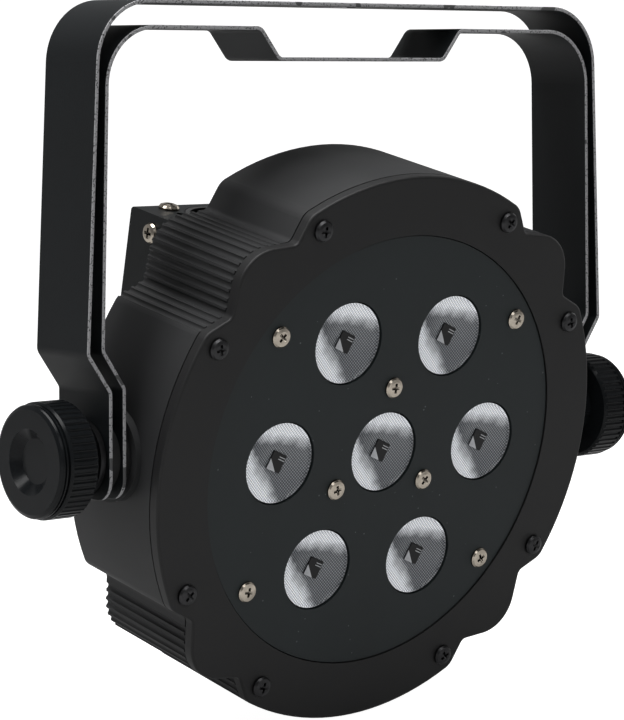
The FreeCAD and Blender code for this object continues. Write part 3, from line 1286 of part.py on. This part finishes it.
def write(nodes, place):
    for name, shape in nodes.items():
        solids = []
        for solid in shape.Solids:
            piece = solid.copy()
            piece.Placement = place.multiply(piece.Placement)
            solids.append(piece)
        whole = solids[0] if len(solids) == 1 else Part.makeCompound(solids)
        if not whole.isValid():
            raise ValueError(name + " is not a valid shape")
        whole.exportStep("parts/%s.step" % name)


os.makedirs("parts", exist_ok=True)
write(head_nodes(), HEAD_PLACE)
write(bracket_nodes(), BRACKET_PLACE)
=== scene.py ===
import json
import math

import bpy
from mathutils import Matrix, Quaternion, Vector


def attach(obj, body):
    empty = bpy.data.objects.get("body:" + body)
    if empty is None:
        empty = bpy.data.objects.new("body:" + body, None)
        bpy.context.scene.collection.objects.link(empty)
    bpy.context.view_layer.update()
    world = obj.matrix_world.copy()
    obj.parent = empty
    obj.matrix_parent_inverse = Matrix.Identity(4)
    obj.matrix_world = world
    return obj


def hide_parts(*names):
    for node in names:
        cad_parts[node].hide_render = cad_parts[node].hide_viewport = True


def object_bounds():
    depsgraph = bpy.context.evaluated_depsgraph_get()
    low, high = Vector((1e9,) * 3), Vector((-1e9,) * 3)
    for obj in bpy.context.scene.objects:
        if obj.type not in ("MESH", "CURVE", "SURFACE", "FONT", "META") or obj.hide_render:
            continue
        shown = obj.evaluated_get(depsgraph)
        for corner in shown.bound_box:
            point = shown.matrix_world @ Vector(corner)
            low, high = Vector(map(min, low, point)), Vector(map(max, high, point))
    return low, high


# LED par can light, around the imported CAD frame. Lengths are metres, in the row frame.

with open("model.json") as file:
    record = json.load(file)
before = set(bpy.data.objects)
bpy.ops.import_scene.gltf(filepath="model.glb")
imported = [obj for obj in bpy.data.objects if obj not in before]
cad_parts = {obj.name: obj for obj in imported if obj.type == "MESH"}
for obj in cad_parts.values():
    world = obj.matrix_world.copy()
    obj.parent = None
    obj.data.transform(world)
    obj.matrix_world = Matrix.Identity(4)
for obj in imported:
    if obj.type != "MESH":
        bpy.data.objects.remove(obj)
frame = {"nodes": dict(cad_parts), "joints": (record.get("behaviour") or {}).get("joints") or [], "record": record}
CAD_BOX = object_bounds()
NODES = frame["nodes"]
RECORD = frame["record"]
MM = 0.001

# ---- camera and studio ------------------------------------------------------------------
CAMERA_PLACE = Vector((-0.50108, -0.57726, -0.01507))
CAMERA_TARGET = Vector((-0.00725, 0.00125, -0.09231))
CAMERA_ROLL = math.radians(0.146)
CAMERA_LENS = 145.9          # millimetres

STUDIO_RADIUS = 2.6
STUDIO_HEIGHT = 2.4
STUDIO_COVE = 0.6
STUDIO_SIDES = 96
STUDIO_COVE_STEPS = 10
STUDIO_BACK_WAY = (0.65, 0.76)   # in x and y, the way from the lamp to the backdrop behind it
STUDIO_BLEND = 1.2           # how fast the glow changes from front to back
STUDIO_BLEND_MIDDLE = 0.5    # the back glow's share at the middle of the floor
STUDIO_SEEN = 0.98           # the backdrop's glow where it is looked at directly
STUDIO_GLOW_BACK = 0.20      # and where it lights the lamp
STUDIO_GLOW_FRONT = 0.08
WORLD_GLOW = 0.02
FLOOR_DROP = 0.5 * MM        # the floor lies this far under the lamp

# Each light: name, place from the lamp's middle, size, watts.
LIGHTS = (
    ("overhead", (-0.10, -0.05, 1.00), (0.9, 0.9), 12.5),
    ("left_box", (-0.75, 0.05, 1.05), (0.5, 0.9), 8.5),
    ("front_fill", (-0.45, -1.20, 0.95), (0.5, 0.5), 1.5),
    ("right_box", (1.15, 0.1, 0.25), (0.3, 0.7), 0.8),
)

# ---- lens optic -------------------------------------------------------------------------
LENS_COUNT = 7
LENS_SIDES = 96
RIM_WIDTH = 0.40 * MM        # flat flange round the pebbled face
RIM_STEP = 0.25 * MM
RIM_ROUND = 0.15 * MM
RIM_DRAFT = 0.05 * MM        # how far the step leans inward
RIM_SHADE = 0.35 * MM        # the optic is dark from this far outside the bowl
FLANGE_DEPTH = 1.65 * MM
CONE_START = 0.92            # shares of the lens's radius
CONE_END = 0.41
BOWL_DEPTH = 1.1 * MM
BOWL_RADIUS = 10.2 * MM
BOWL_RINGS = 12
BOWL_SLOPE_HEIGHT = 2.3 * MM     # how deep the reflecting cone looks through the face
PEBBLE_PITCH = 0.62 * MM
PEBBLE_HEIGHT = 0.035 * MM
DULL_OPTIC = ((0.045, 0.050, 0.058), (0.42, 0.44, 0.47))   # painted shading, between the pebbles and on them, outside the highlight crescents
LIT_OPTIC = ((0.42, 0.44, 0.46), (0.97, 0.98, 0.99))       # the same inside a painted highlight crescent
RIM_COLOUR = (0.05, 0.05, 0.055)
HIGHLIGHT_CRESCENTS = ((0.15, 1.0, 0.42), (-0.80, -0.60, 0.40))   # each painted highlight crescent: its way across in x and z, where it starts
CRESCENT_RAMP = 3.0          # how fast a crescent brightens past its start
CRESCENT_WAVE = 0.35         # how far noise moves its edge
CRESCENT_WAVE_MIDDLE = 0.17
CRESCENT_WAVE_SIZE = 3.5 * MM
PAINTED_GLOW_STRENGTH = 0.55        # painted glow: how strongly the crescents give off light of their own

# ---- LED behind the optic ---------------------------------------------------------------
CHIP_SIDE = 5.0 * MM
CHIP_HEIGHT = 0.45 * MM
CHIP_BEVEL = 0.3 * MM
CHIP_TURN = math.radians(24)
CHIP_BARS = (0.35, 0.62)     # where the bars, painted highlights, lie, in halves of a side
CHIP_BAR_LENGTH = 0.85       # in halves of a side
CHIP_BAR_HALF = 0.11 * MM
CHIP_BAR_PROUD = 0.1 * MM
CHIP_FACET = (0.3, 0.1)      # how far the facet's corners reach in x and z, in halves of a side
CHIP_FACET_PROUD = 0.12 * MM

# ---- display ----------------------------------------------------------------------------
DIGITS = 4
DIGIT_PITCHES = 4.4          # the display's width, in digit pitches
DIGIT_WIDTH = 0.50           # shares of a pitch
DIGIT_STROKE = 0.09
DIGIT_HEIGHT = 0.62          # share of the display's height
SEGMENT_PROUD = 0.03 * MM    # the display segments stand this far off their module
TUCK = 0.05 * MM             # how far a piece that sits on another sinks into it

# ---- wear, dust, painted light on cut edges and painted shade in recesses ---------------
EDGE_FACING = 0.35           # a strip's face turned this far to the front or back is a cut edge
CHIPPED = 0.42               # noise above these leaves bare metal
SCUFFED = 0.36
# colour of every cut edge: painted light that the edges catch, and rubbed paint
LIT_AND_RUBBED_EDGE = (0.085, 0.086, 0.088)
BARE_METAL = (0.36, 0.36, 0.37)
DUST_SPACING = 2.6 * MM
DUST_SIZE = 0.22 * MM
DUSTY = 0.55                 # noise above this has dust
DUST_COLOUR = (0.10, 0.11, 0.115)
RECESS_SHADE_REACH = 1.2 * MM       # recesses about this wide get painted shade
RECESS_SHADE_RAMP = 2.6             # how fast a recess goes from painted shade to unshaded as it opens
RECESS_SHADE_START = 0.5            # how open it is where it is still wholly in painted shade
RECESS_SHADE_DARKNESS = 0.04        # the painted shade's brightness against unshaded metal's
TRACK_WAVES = (2400, 1700)   # a board's tracks across x and z, in radians a metre
TRACK_EDGE = 0.35


# ---- mesh helpers -----------------------------------------------------------------------
def joint(name):
    return next(j for j in frame["joints"] if j["name"] == name)


def mount(name):
    return next(m for m in RECORD["mounts"] if m["name"] == name)


def head_matrix():
    """The tilted head's own frame: origin on the pivot axis, -Y the way the lamp faces."""
    up = mount("signal_in")["axis"]
    tilt = math.atan2(-up[1], up[2])
    return Matrix.Translation(joint("head_tilt")["pos_m"]) @ Matrix.Rotation(tilt, 4, "X")


HEAD = head_matrix()


def head_box(node):
    """(lowest corner, highest corner) of a CAD node in the head's frame."""
    to_head = HEAD.inverted()
    points = [to_head @ v.co for v in NODES[node].data.vertices]
    return (Vector([min(p[i] for p in points) for i in range(3)]),
            Vector([max(p[i] for p in points) for i in range(3)]))


def piece(name, vertices, faces, material, place, body, slot, smooth=True):
    """A new mesh piece, drawn in its own frame, put in place and riding on a body."""
    mesh = bpy.data.meshes.new(name)
    mesh.from_pydata(vertices, [], faces)
    mesh.validate()
    mesh.polygons.foreach_set("use_smooth", [smooth] * len(mesh.polygons))
    mesh.materials.append(material)
    made = bpy.data.objects.new(name, mesh)
    bpy.context.scene.collection.objects.link(made)
    made.matrix_world = place
    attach(made, body)
    return made


def lathe(profile, sides):
    """Vertices and faces of a profile of (radius, y) turned about Y, with a hub where radius is 0."""
    vertices = []
    rings = []
    for radius, y in profile:
        if radius == 0:
            rings.append([len(vertices)] * sides)
            vertices.append((0, y, 0))
            continue
        rings.append(range(len(vertices), len(vertices) + sides))
        for i in range(sides):
            angle = 2 * math.pi * i / sides
            vertices.append((radius * math.sin(angle), y, radius * math.cos(angle)))
    faces = []
    for inner, outer in zip(rings, rings[1:]):
        for i in range(sides):
            k = (i + 1) % sides
            corners = [inner[i], inner[k], outer[k], outer[i]]
            faces.append(list(dict.fromkeys(corners)))
    return vertices, faces


def box_mesh(x, y, z):
    """Vertices and faces of a box from three (low, high) pairs."""
    vertices = [(a, b, c) for a in x for b in y for c in z]
    faces = [(0, 1, 3, 2), (4, 6, 7, 5), (0, 4, 5, 1), (2, 3, 7, 6), (0, 2, 6, 4), (1, 5, 7, 3)]
    return vertices, faces


# ---- material helpers -------------------------------------------------------------------
class Paint:
    """One material's node tree. Constants go straight on the shader's sockets."""

    def __init__(self, name, base, roughness, metallic=0.0, **sockets):
        self.material = bpy.data.materials.new(name)
        self.material.use_nodes = True
        self.material.diffuse_color = (*base[:3], 1)
        self.tree = self.material.node_tree
        self.shader = self.tree.nodes["Principled BSDF"]
        self.shader.inputs["Base Color"].default_value = (*base[:3], 1)
        self.shader.inputs["Roughness"].default_value = roughness
        self.shader.inputs["Metallic"].default_value = metallic
        for socket, value in sockets.items():
            self.shader.inputs[socket.replace("_", " ")].default_value = value
        self.base = base
        self.roughness = roughness
        self.where = self.tree.nodes.new("ShaderNodeTexCoord")

    def link(self, output, socket):
        self.tree.links.new(output, socket)

    def math(self, operation, a, b=0.0, c=0.0, clamp=False):
        """The result of an operation on numbers or other nodes' outputs."""
        node = self.tree.nodes.new("ShaderNodeMath")
        node.operation = operation
        node.use_clamp = clamp
        for value, socket in zip((a, b, c), node.inputs):
            if isinstance(value, (int, float)):
                socket.default_value = value
            else:
                self.link(value, socket)
        return node.outputs[0]

    def axes(self, output="Object"):
        node = self.tree.nodes.new("ShaderNodeSeparateXYZ")
        self.link(self.where.outputs[output], node.inputs[0])
        return node.outputs

    def noise(self, size, detail=2.0, stretch=(1, 1, 1)):
        """Noise with features of about the given size in metres, from 0 to 1."""
        mapping = self.tree.nodes.new("ShaderNodeMapping")
        mapping.inputs["Scale"].default_value = stretch
        self.link(self.where.outputs["Object"], mapping.inputs["Vector"])
        node = self.tree.nodes.new("ShaderNodeTexNoise")
        node.inputs["Scale"].default_value = 1 / size
        node.inputs["Detail"].default_value = detail
        self.link(mapping.outputs[0], node.inputs["Vector"])
        return node.outputs["Fac"]

    def specks(self, spacing, size):
        """1 inside small spots about the given size, spread one to each spacing, and 0 elsewhere."""
        node = self.tree.nodes.new("ShaderNodeTexVoronoi")
        node.inputs["Scale"].default_value = 1 / spacing
        self.link(self.where.outputs["Object"], node.inputs["Vector"])
        return self.math("LESS_THAN", node.outputs["Distance"], size / spacing)

    def blend(self, share, low, high):
        """Colour that goes from low to high as share goes from 0 to 1."""
        node = self.tree.nodes.new("ShaderNodeMix")
        node.data_type = "RGBA"
        self.link(share, node.inputs["Factor"])
        for socket, colour in ((node.inputs["A"], low), (node.inputs["B"], high)):
            if isinstance(colour, (tuple, list)):
                socket.default_value = (*colour[:3], 1)
            else:
                self.link(colour, socket)
        return node.outputs["Result"]

    def shades(self, share, spread):
        """The base colour made darker and lighter by a spread, as share goes from 0 to 1."""
        low = [c * (1 - spread) for c in self.base[:3]]
        high = [c * (1 + spread) for c in self.base[:3]]
        return self.blend(share, low, high)

    def colour(self, output):
        self.link(output, self.shader.inputs["Base Color"])

    def rough(self, share, spread):
        """Roughness that varies about its middle as share goes from 0 to 1."""
        varied = self.math("MULTIPLY_ADD", share, spread, self.roughness - spread / 2)
        self.link(varied, self.shader.inputs["Roughness"])

    def bump(self, height, depth, strength=1.0):
        node = self.tree.nodes.new("ShaderNodeBump")
        node.inputs["Strength"].default_value = strength
        node.inputs["Distance"].default_value = depth
        self.link(height, node.inputs["Height"])
        self.link(node.outputs[0], self.shader.inputs["Normal"])


# ---- materials --------------------------------------------------------------------------
def powder_coat(name, base, lit_and_worn_edges=False):
    """Fine orange-peel paint; on a bent strip the cut edges are painted lighter, partly as painted light that the
    edges catch and partly as rubbed paint, with chips and scuffs rubbed to bare grey metal.
    """
    paint = Paint(name, base, 0.5, Specular_IOR_Level=0.28)
    fine = paint.noise(0.45 * MM, 3.0)
    broad = paint.noise(28 * MM, 4.0)
    coat = paint.shades(paint.math("MULTIPLY", fine, broad), 0.55)
    if lit_and_worn_edges:
        side = paint.math("ABSOLUTE", paint.axes("Normal")[1])
        cut = paint.math("GREATER_THAN", side, EDGE_FACING)
        chips = paint.math("GREATER_THAN", paint.noise(0.5 * MM, 3.0), CHIPPED)
        scuffs = paint.math("GREATER_THAN", paint.noise(9 * MM, 2.0), SCUFFED)
        worn = paint.math("MULTIPLY", paint.math("MULTIPLY", chips, scuffs), cut)
        # Every cut edge is made lighter: painted light where it catches the light, and rubbed paint.
        edge = paint.blend(cut, coat, LIT_AND_RUBBED_EDGE)
        coat = paint.blend(worn, edge, BARE_METAL)
    paint.colour(coat)
    paint.rough(broad, 0.14)
    paint.bump(fine, 0.05 * MM, 0.55)
    return paint.material


def moulded(name, base, roughness):
    """Moulded plastic with a faint grain and broad handling marks."""
    paint = Paint(name, base, roughness, Specular_IOR_Level=0.3)
    fine = paint.noise(0.3 * MM, 2.0)
    broad = paint.noise(22 * MM, 5.0)
    paint.colour(paint.shades(broad, 0.22))
    paint.rough(broad, 0.12)
    paint.bump(fine, 0.02 * MM, 0.4)
    return paint.material


def dusty_panel(name, base):
    """Matt painted sheet with specks of dust and faint smears."""
    paint = Paint(name, base, 0.52, Specular_IOR_Level=0.3)
    smear = paint.noise(16 * MM, 5.0, (1, 1, 0.35))
    coat = paint.shades(smear, 0.3)
    sparse = paint.math("GREATER_THAN", paint.noise(7 * MM, 2.0), DUSTY)
    dust = paint.math("MULTIPLY", paint.specks(DUST_SPACING, DUST_SIZE), sparse)
    paint.colour(paint.blend(dust, coat, DUST_COLOUR))
    paint.rough(smear, 0.16)
    paint.bump(paint.noise(0.35 * MM, 2.0), 0.03 * MM, 0.4)
    return paint.material


def metal(name, base, roughness, stretch=(1, 1, 1), recess_shade=False):
    """Plated or bare metal with a fine grain and tarnish; when asked, its recesses are darkened as painted shade.
    """
    paint = Paint(name, base, roughness, 1.0)
    tarnish = paint.noise(1.6 * MM, 4.0)
    finish = paint.shades(tarnish, 0.35)
    # Painted shade: ambient occlusion darkens the colour in recesses.
    if recess_shade:
        open_sky = paint.tree.nodes.new("ShaderNodeAmbientOcclusion")
        open_sky.inputs["Distance"].default_value = RECESS_SHADE_REACH
        open_sky.samples = 4
        unshaded = paint.math("MULTIPLY_ADD", open_sky.outputs["AO"], RECESS_SHADE_RAMP,
                           -RECESS_SHADE_RAMP * RECESS_SHADE_START, clamp=True)
        finish = paint.blend(unshaded, [c * RECESS_SHADE_DARKNESS for c in base], finish)
    paint.colour(finish)
    paint.rough(tarnish, 0.18)
    paint.bump(paint.noise(0.25 * MM, 2.0, stretch), 0.02 * MM, 0.5)
    return paint.material


def knob_plastic(name):
    """Glossy black moulding with fine rubbing marks."""
    paint = Paint(name, (0.0070, 0.0080, 0.0090), 0.22, Specular_IOR_Level=0.16)
    rub = paint.noise(0.5 * MM, 5.0, (0.25, 1, 1))
    broad = paint.noise(7 * MM, 4.0)
    paint.colour(paint.shades(rub, 0.5))
    paint.rough(broad, 0.16)
    paint.bump(rub, 0.03 * MM, 0.45)
    return paint.material


def pebbled_optic(name):
    """Bright optic under a pebbled face: crossed rows of bumps with painted shading on them, and two painted
    highlight crescents that glow.
    """
    paint = Paint(name, (0.60, 0.62, 0.64), 0.25, 0.0, Specular_IOR_Level=0.5,
                  Emission_Color=(0.9, 0.93, 1.0, 1))
    x, _, z = paint.axes()
    waves = []
    for side in (1, -1):
        across = paint.math("MULTIPLY_ADD", z, side, x)
        turns = paint.math("MULTIPLY", across, math.pi / PEBBLE_PITCH / math.sqrt(2))
        waves.append(paint.math("ABSOLUTE", paint.math("SINE", turns)))
    pebbles = paint.math("MULTIPLY", *waves)
    square = paint.math("ADD", paint.math("MULTIPLY", x, x), paint.math("MULTIPLY", z, z))
    cone = paint.math("MULTIPLY", square, BOWL_SLOPE_HEIGHT / BOWL_RADIUS ** 2)
    paint.bump(paint.math("MULTIPLY_ADD", pebbles, PEBBLE_HEIGHT, cone), 1.0)
    # Painted highlights: two bright crescents placed by position on the lens, with wavy edges.
    crescents = []
    for along_x, along_z, start in HIGHLIGHT_CRESCENTS:
        sideways = paint.math("MULTIPLY", x, along_x / BOWL_RADIUS)
        reach = paint.math("MULTIPLY_ADD", z, along_z / BOWL_RADIUS, sideways)
        wavy = paint.math("MULTIPLY_ADD", paint.noise(CRESCENT_WAVE_SIZE, 2.0), CRESCENT_WAVE, reach)
        edge = start + CRESCENT_WAVE_MIDDLE
        crescents.append(paint.math("MULTIPLY_ADD", wavy, CRESCENT_RAMP, -CRESCENT_RAMP * edge, clamp=True))
    bright = paint.math("MAXIMUM", *crescents)
    # Painted shading on the pebbles: dark between them and light on them, lit inside the crescents.
    dull = paint.blend(pebbles, *DULL_OPTIC)
    lit = paint.blend(pebbles, *LIT_OPTIC)
    rim = paint.math("GREATER_THAN", square, (BOWL_RADIUS + RIM_SHADE) ** 2)
    paint.colour(paint.blend(rim, paint.blend(bright, dull, lit), RIM_COLOUR))
    # Painted glow: the crescents give off light of their own in the emission colour, more on the pebbles.
    inner = paint.math("MULTIPLY", bright, paint.math("SUBTRACT", 1.0, rim))
    sheen = paint.math("MULTIPLY_ADD", pebbles, 0.8, 0.2)
    painted_glow = paint.math("MULTIPLY", paint.math("MULTIPLY", inner, sheen), PAINTED_GLOW_STRENGTH)
    paint.link(painted_glow, paint.shader.inputs["Emission Strength"])
    return paint.material


def clear(name, base, roughness):
    """Clear or tinted moulding, a little uneven."""
    paint = Paint(name, base, roughness, Transmission_Weight=1.0, IOR=1.49)
    wave = paint.noise(1.5 * MM, 3.0)
    paint.colour(paint.shades(wave, 0.06))
    paint.bump(wave, 0.02 * MM, 0.4)
    return paint.material


def board(name, base):
    """Solder mask with fine lines under it."""
    paint = Paint(name, base, 0.35, Specular_IOR_Level=0.5)
    x, _, z = paint.axes()
    waves = [paint.math("SINE", paint.math("MULTIPLY", axis, turns))
             for axis, turns in zip((x, z), TRACK_WAVES)]
    tracks = paint.math("GREATER_THAN", paint.math("MULTIPLY", *waves), TRACK_EDGE)
    paint.colour(paint.blend(tracks, base, [c * 1.4 for c in base]))
    paint.rough(paint.noise(4 * MM, 3.0), 0.12)
    paint.bump(tracks, 0.03 * MM)
    return paint.material


def make_materials():
    """One material for each of the record's slots."""
    return {
        "bracket_paint": powder_coat("bracket_paint", (0.0050, 0.0070, 0.0085), lit_and_worn_edges=True),
        "box_paint": powder_coat("box_paint", (0.0060, 0.0075, 0.0085)),
        "panel_paint": dusty_panel("panel_paint", (0.0165, 0.0215, 0.0230)),
        "housing_plastic": moulded("housing_plastic", (0.0225, 0.0230, 0.0240), 0.56),
        "bezel_plastic": moulded("bezel_plastic", (0.0135, 0.0135, 0.0140), 0.5),
        "socket_plastic": moulded("socket_plastic", (0.0120, 0.0120, 0.0125), 0.42),
        "button_plastic": moulded("button_plastic", (0.0300, 0.0300, 0.0310), 0.45),
        "holder_plastic": moulded("holder_plastic", (0.0100, 0.0100, 0.0100), 0.5),
        "washer_nylon": moulded("washer_nylon", (0.0160, 0.0160, 0.0160), 0.5),
        "washer_rubber": moulded("washer_rubber", (0.0090, 0.0090, 0.0090), 0.75),
        "cable_sheath": moulded("cable_sheath", (0.0140, 0.0140, 0.0140), 0.6),
        "display_black": moulded("display_black", (0.0060, 0.0060, 0.0060), 0.3),
        "component": moulded("component", (0.0400, 0.0400, 0.0500), 0.45),
        "led_package": moulded("led_package", (0.6500, 0.6000, 0.3000), 0.35),
        "knob_plastic": knob_plastic("knob_plastic"),
        "socket_metal": metal("socket_metal", (0.0600, 0.0600, 0.0630), 0.34),
        "black_steel": metal("black_steel", (0.0500, 0.0500, 0.0520), 0.36),
        "nickel_steel": metal("nickel_steel", (0.5600, 0.5000, 0.4200), 0.22, recess_shade=True),
        "zinc_steel": metal("zinc_steel", (0.0450, 0.0450, 0.0470), 0.45),
        "latch_steel": metal("latch_steel", (0.5000, 0.5000, 0.5000), 0.30),
        "brass": metal("brass", (0.7200, 0.5200, 0.2200), 0.30),
        "raw_aluminium": metal("raw_aluminium", (0.7000, 0.7100, 0.7200), 0.38, stretch=(1, 0.1, 1)),
        "lens_acrylic": pebbled_optic("lens_acrylic"),
        "fuse_glass": clear("fuse_glass", (0.90, 0.95, 0.95), 0.05),
        "window_tint": clear("window_tint", (0.32, 0.03, 0.03), 0.08),
        "green_board": board("green_board", (0.0150, 0.0950, 0.0400)),
        "white_board": board("white_board", (0.6500, 0.6600, 0.6500)),
    }


def paint_frame(materials):
    """Gives every CAD node its slot's material."""
    slots = {s["node"]: s["material_slot"] for s in RECORD["subparts"]}
    for name, node in NODES.items():
        if not node.material_slots:
            node.data.materials.append(None)
        for holder in node.material_slots:
            holder.material = materials[slots[name]]


# ---- lenses -----------------------------------------------------------------------------
def optic_profile(radius, depth):
    """The cone behind, the flange and its rim, a step, and the shallow pebbled bowl."""
    face = radius - RIM_WIDTH
    profile = [(0, depth), (CONE_END * radius, depth), (CONE_START * radius, FLANGE_DEPTH),
               (radius, FLANGE_DEPTH), (radius, RIM_ROUND), (radius - RIM_ROUND, 0),
               (face, 0), (face - RIM_DRAFT, RIM_STEP)]
    for i in range(1, BOWL_RINGS + 1):
        share = i / BOWL_RINGS
        r = (face - RIM_DRAFT) * (1 - share)
        profile.append((r, RIM_STEP + BOWL_DEPTH * math.sin(share * math.pi / 2)))
    return profile


def build_lens(number, materials, dark, bright):
    node = f"lens_{number}"
    low, high = head_box(node)
    radius = (high.x - low.x) / 2
    place = HEAD @ Matrix.Translation(((low.x + high.x) / 2, low.y, (low.z + high.z) / 2))
    optic = piece(f"optic_{number}", *lathe(optic_profile(radius, high.y - low.y), LENS_SIDES),
                  materials["lens_acrylic"], place, "head", "lens_acrylic")
    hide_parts(node)
    build_chip(number, place, RIM_STEP + BOWL_DEPTH, dark, bright)


def build_chip(number, place, depth, dark, bright):
    """The LED seen through the optic: a square package, a grey facet and two bright bars that are painted
    highlights.
    """
    half = CHIP_SIDE / 2
    place = place @ Matrix.Rotation(CHIP_TURN, 4, "Y")
    face = depth - CHIP_HEIGHT
    chip = piece(f"chip_{number}", *box_mesh((-half, half), (face, depth), (-half, half)),
                 dark, place, "head", "holder_plastic", smooth=False)
    bevel = chip.modifiers.new("edge", "BEVEL")
    bevel.width = CHIP_BEVEL
    bevel.segments = 2
    # Two bright bars on the chip, as painted highlights.
    for i, rise in enumerate(CHIP_BARS):
        z = half * rise
        bar = box_mesh((0.0, CHIP_BAR_LENGTH * half), (face - CHIP_BAR_PROUD, face + TUCK),
                       (z - CHIP_BAR_HALF, z + CHIP_BAR_HALF))
        piece(f"chip_highlight_bar_{number}_{i + 1}", *bar, bright, place, "head", "led_package", smooth=False)
    corners = [(-half, -half), (CHIP_FACET[0] * half, -half), (-half, CHIP_FACET[1] * half)]
    vertices = [(x, y, z) for y in (face - CHIP_FACET_PROUD, face + TUCK) for x, z in corners]
    faces = [(0, 2, 1), (3, 4, 5), (0, 1, 4, 3), (1, 2, 5, 4), (2, 0, 3, 5)]
    piece(f"chip_facet_{number}", vertices, faces, bright, place, "head", "led_package", smooth=False)


# ---- display ----------------------------------------------------------------------------
def build_digits(material):
    """Four unlit seven-segment digits behind the display's window, as seen from the back."""
    low, high = head_box("display_module")
    face = high.y
    middle = (low + high) / 2
    pitch = (high.x - low.x) / DIGIT_PITCHES
    wide = pitch * DIGIT_WIDTH
    tall = (high.z - low.z) * DIGIT_HEIGHT
    bar = pitch * DIGIT_STROKE
    long = tall / 2 - bar
    for digit in range(DIGITS):
        centre = middle.x + (digit - (DIGITS - 1) / 2) * pitch
        bars = [(centre, middle.z + k * tall / 2, wide / 2 - bar, bar) for k in (-1, 0, 1)]
        bars += [(centre + i * wide / 2, middle.z + k * tall / 4, bar, long / 2)
                 for i in (-1, 1) for k in (-1, 1)]
        vertices = []
        faces = []
        for x, z, half_x, half_z in bars:
            corners, sides = box_mesh((x - half_x, x + half_x), (face - TUCK, face + SEGMENT_PROUD),
                                      (z - half_z, z + half_z))
            faces += [[i + len(vertices) for i in side] for side in sides]
            vertices += corners
        piece(f"digit_{digit + 1}", vertices, faces, material, HEAD, "head", "display_black",
              smooth=False)


# ---- studio -----------------------------------------------------------------------------
def studio_material():
    """Pale seamless backdrop, glowing more behind the lamp than in front of it."""
    paint = Paint("studio", (0.40, 0.40, 0.40), 0.9, Specular_IOR_Level=0.0,
                  Emission_Color=(1, 1, 1, 1))
    x, y, _ = paint.axes()
    across = paint.math("MULTIPLY", x, STUDIO_BACK_WAY[0] / STUDIO_RADIUS)
    away = paint.math("ADD", across, paint.math("MULTIPLY", y, STUDIO_BACK_WAY[1] / STUDIO_RADIUS))
    behind = paint.math("MULTIPLY_ADD", away, STUDIO_BLEND, STUDIO_BLEND_MIDDLE, clamp=True)
    strength = paint.math("MULTIPLY_ADD", behind, STUDIO_GLOW_BACK - STUDIO_GLOW_FRONT, STUDIO_GLOW_FRONT)
    seen = paint.tree.nodes.new("ShaderNodeLightPath").outputs["Is Camera Ray"]
    unseen = paint.math("MULTIPLY", strength, paint.math("SUBTRACT", 1.0, seen))
    both = paint.math("ADD", unseen, paint.math("MULTIPLY", seen, STUDIO_SEEN))
    paint.link(both, paint.shader.inputs["Emission Strength"])
    return paint.material


def build_studio():
    """A round pale floor that curves up into a wall, the world and the lights."""
    floor_z = CAD_BOX[0].z - FLOOR_DROP
    profile = [(0, 0), (STUDIO_RADIUS - STUDIO_COVE, 0)]
    profile += [(STUDIO_RADIUS - STUDIO_COVE * (1 - math.sin(a)), STUDIO_COVE * (1 - math.cos(a)))
                for a in [math.pi / 2 * i / STUDIO_COVE_STEPS for i in range(1, STUDIO_COVE_STEPS + 1)]]
    profile.append((STUDIO_RADIUS, STUDIO_HEIGHT))
    vertices, faces = lathe(profile, STUDIO_SIDES)
    mesh = bpy.data.meshes.new("studio")
    mesh.from_pydata([(x, z, y) for x, y, z in vertices], [], faces)
    mesh.polygons.foreach_set("use_smooth", [True] * len(mesh.polygons))
    mesh.materials.append(studio_material())
    studio = bpy.data.objects.new("studio", mesh)
    studio.location.z = floor_z
    bpy.context.scene.collection.objects.link(studio)
    world = bpy.data.worlds.new("world")
    world.use_nodes = True
    world.node_tree.nodes["Background"].inputs["Color"].default_value = (1, 1, 1, 1)
    world.node_tree.nodes["Background"].inputs["Strength"].default_value = WORLD_GLOW
    bpy.context.scene.world = world
    middle = (CAD_BOX[0] + CAD_BOX[1]) / 2
    for name, spot, size, watts in LIGHTS:
        lamp = bpy.data.lights.new(name, "AREA")
        lamp.shape = "RECTANGLE"
        lamp.size, lamp.size_y = size
        lamp.energy = watts
        holder = bpy.data.objects.new(name, lamp)
        holder.location = middle + Vector(spot)
        holder.rotation_mode = "QUATERNION"
        holder.rotation_quaternion = (-Vector(spot)).to_track_quat("-Z", "Y")
        bpy.context.scene.collection.objects.link(holder)


def build_camera():
    lens = bpy.data.cameras.new("camera")
    lens.lens = CAMERA_LENS
    lens.clip_start = 0.05
    lens.clip_end = 20
    camera = bpy.data.objects.new("camera", lens)
    camera.location = CAMERA_PLACE
    camera.rotation_mode = "QUATERNION"
    look = (CAMERA_TARGET - CAMERA_PLACE).to_track_quat("-Z", "Y")
    camera.rotation_quaternion = look @ Quaternion((0, 0, 1), CAMERA_ROLL)
    bpy.context.scene.collection.objects.link(camera)
    bpy.context.scene.camera = camera


materials = make_materials()
paint_frame(materials)
dark_chip = moulded("chip_dark", (0.004, 0.004, 0.005), 0.3)
# The chip's bright bars, which are painted highlights, and its grey facet.
bright_bar = metal("chip_bright", (0.45, 0.46, 0.48), 0.35)
for number in range(1, LENS_COUNT + 1):
    build_lens(number, materials, dark_chip, bright_bar)
build_digits(moulded("segment_red", (0.16, 0.035, 0.03), 0.4))
build_studio()
build_camera()
bpy.context.scene.view_settings.view_transform = "Standard"
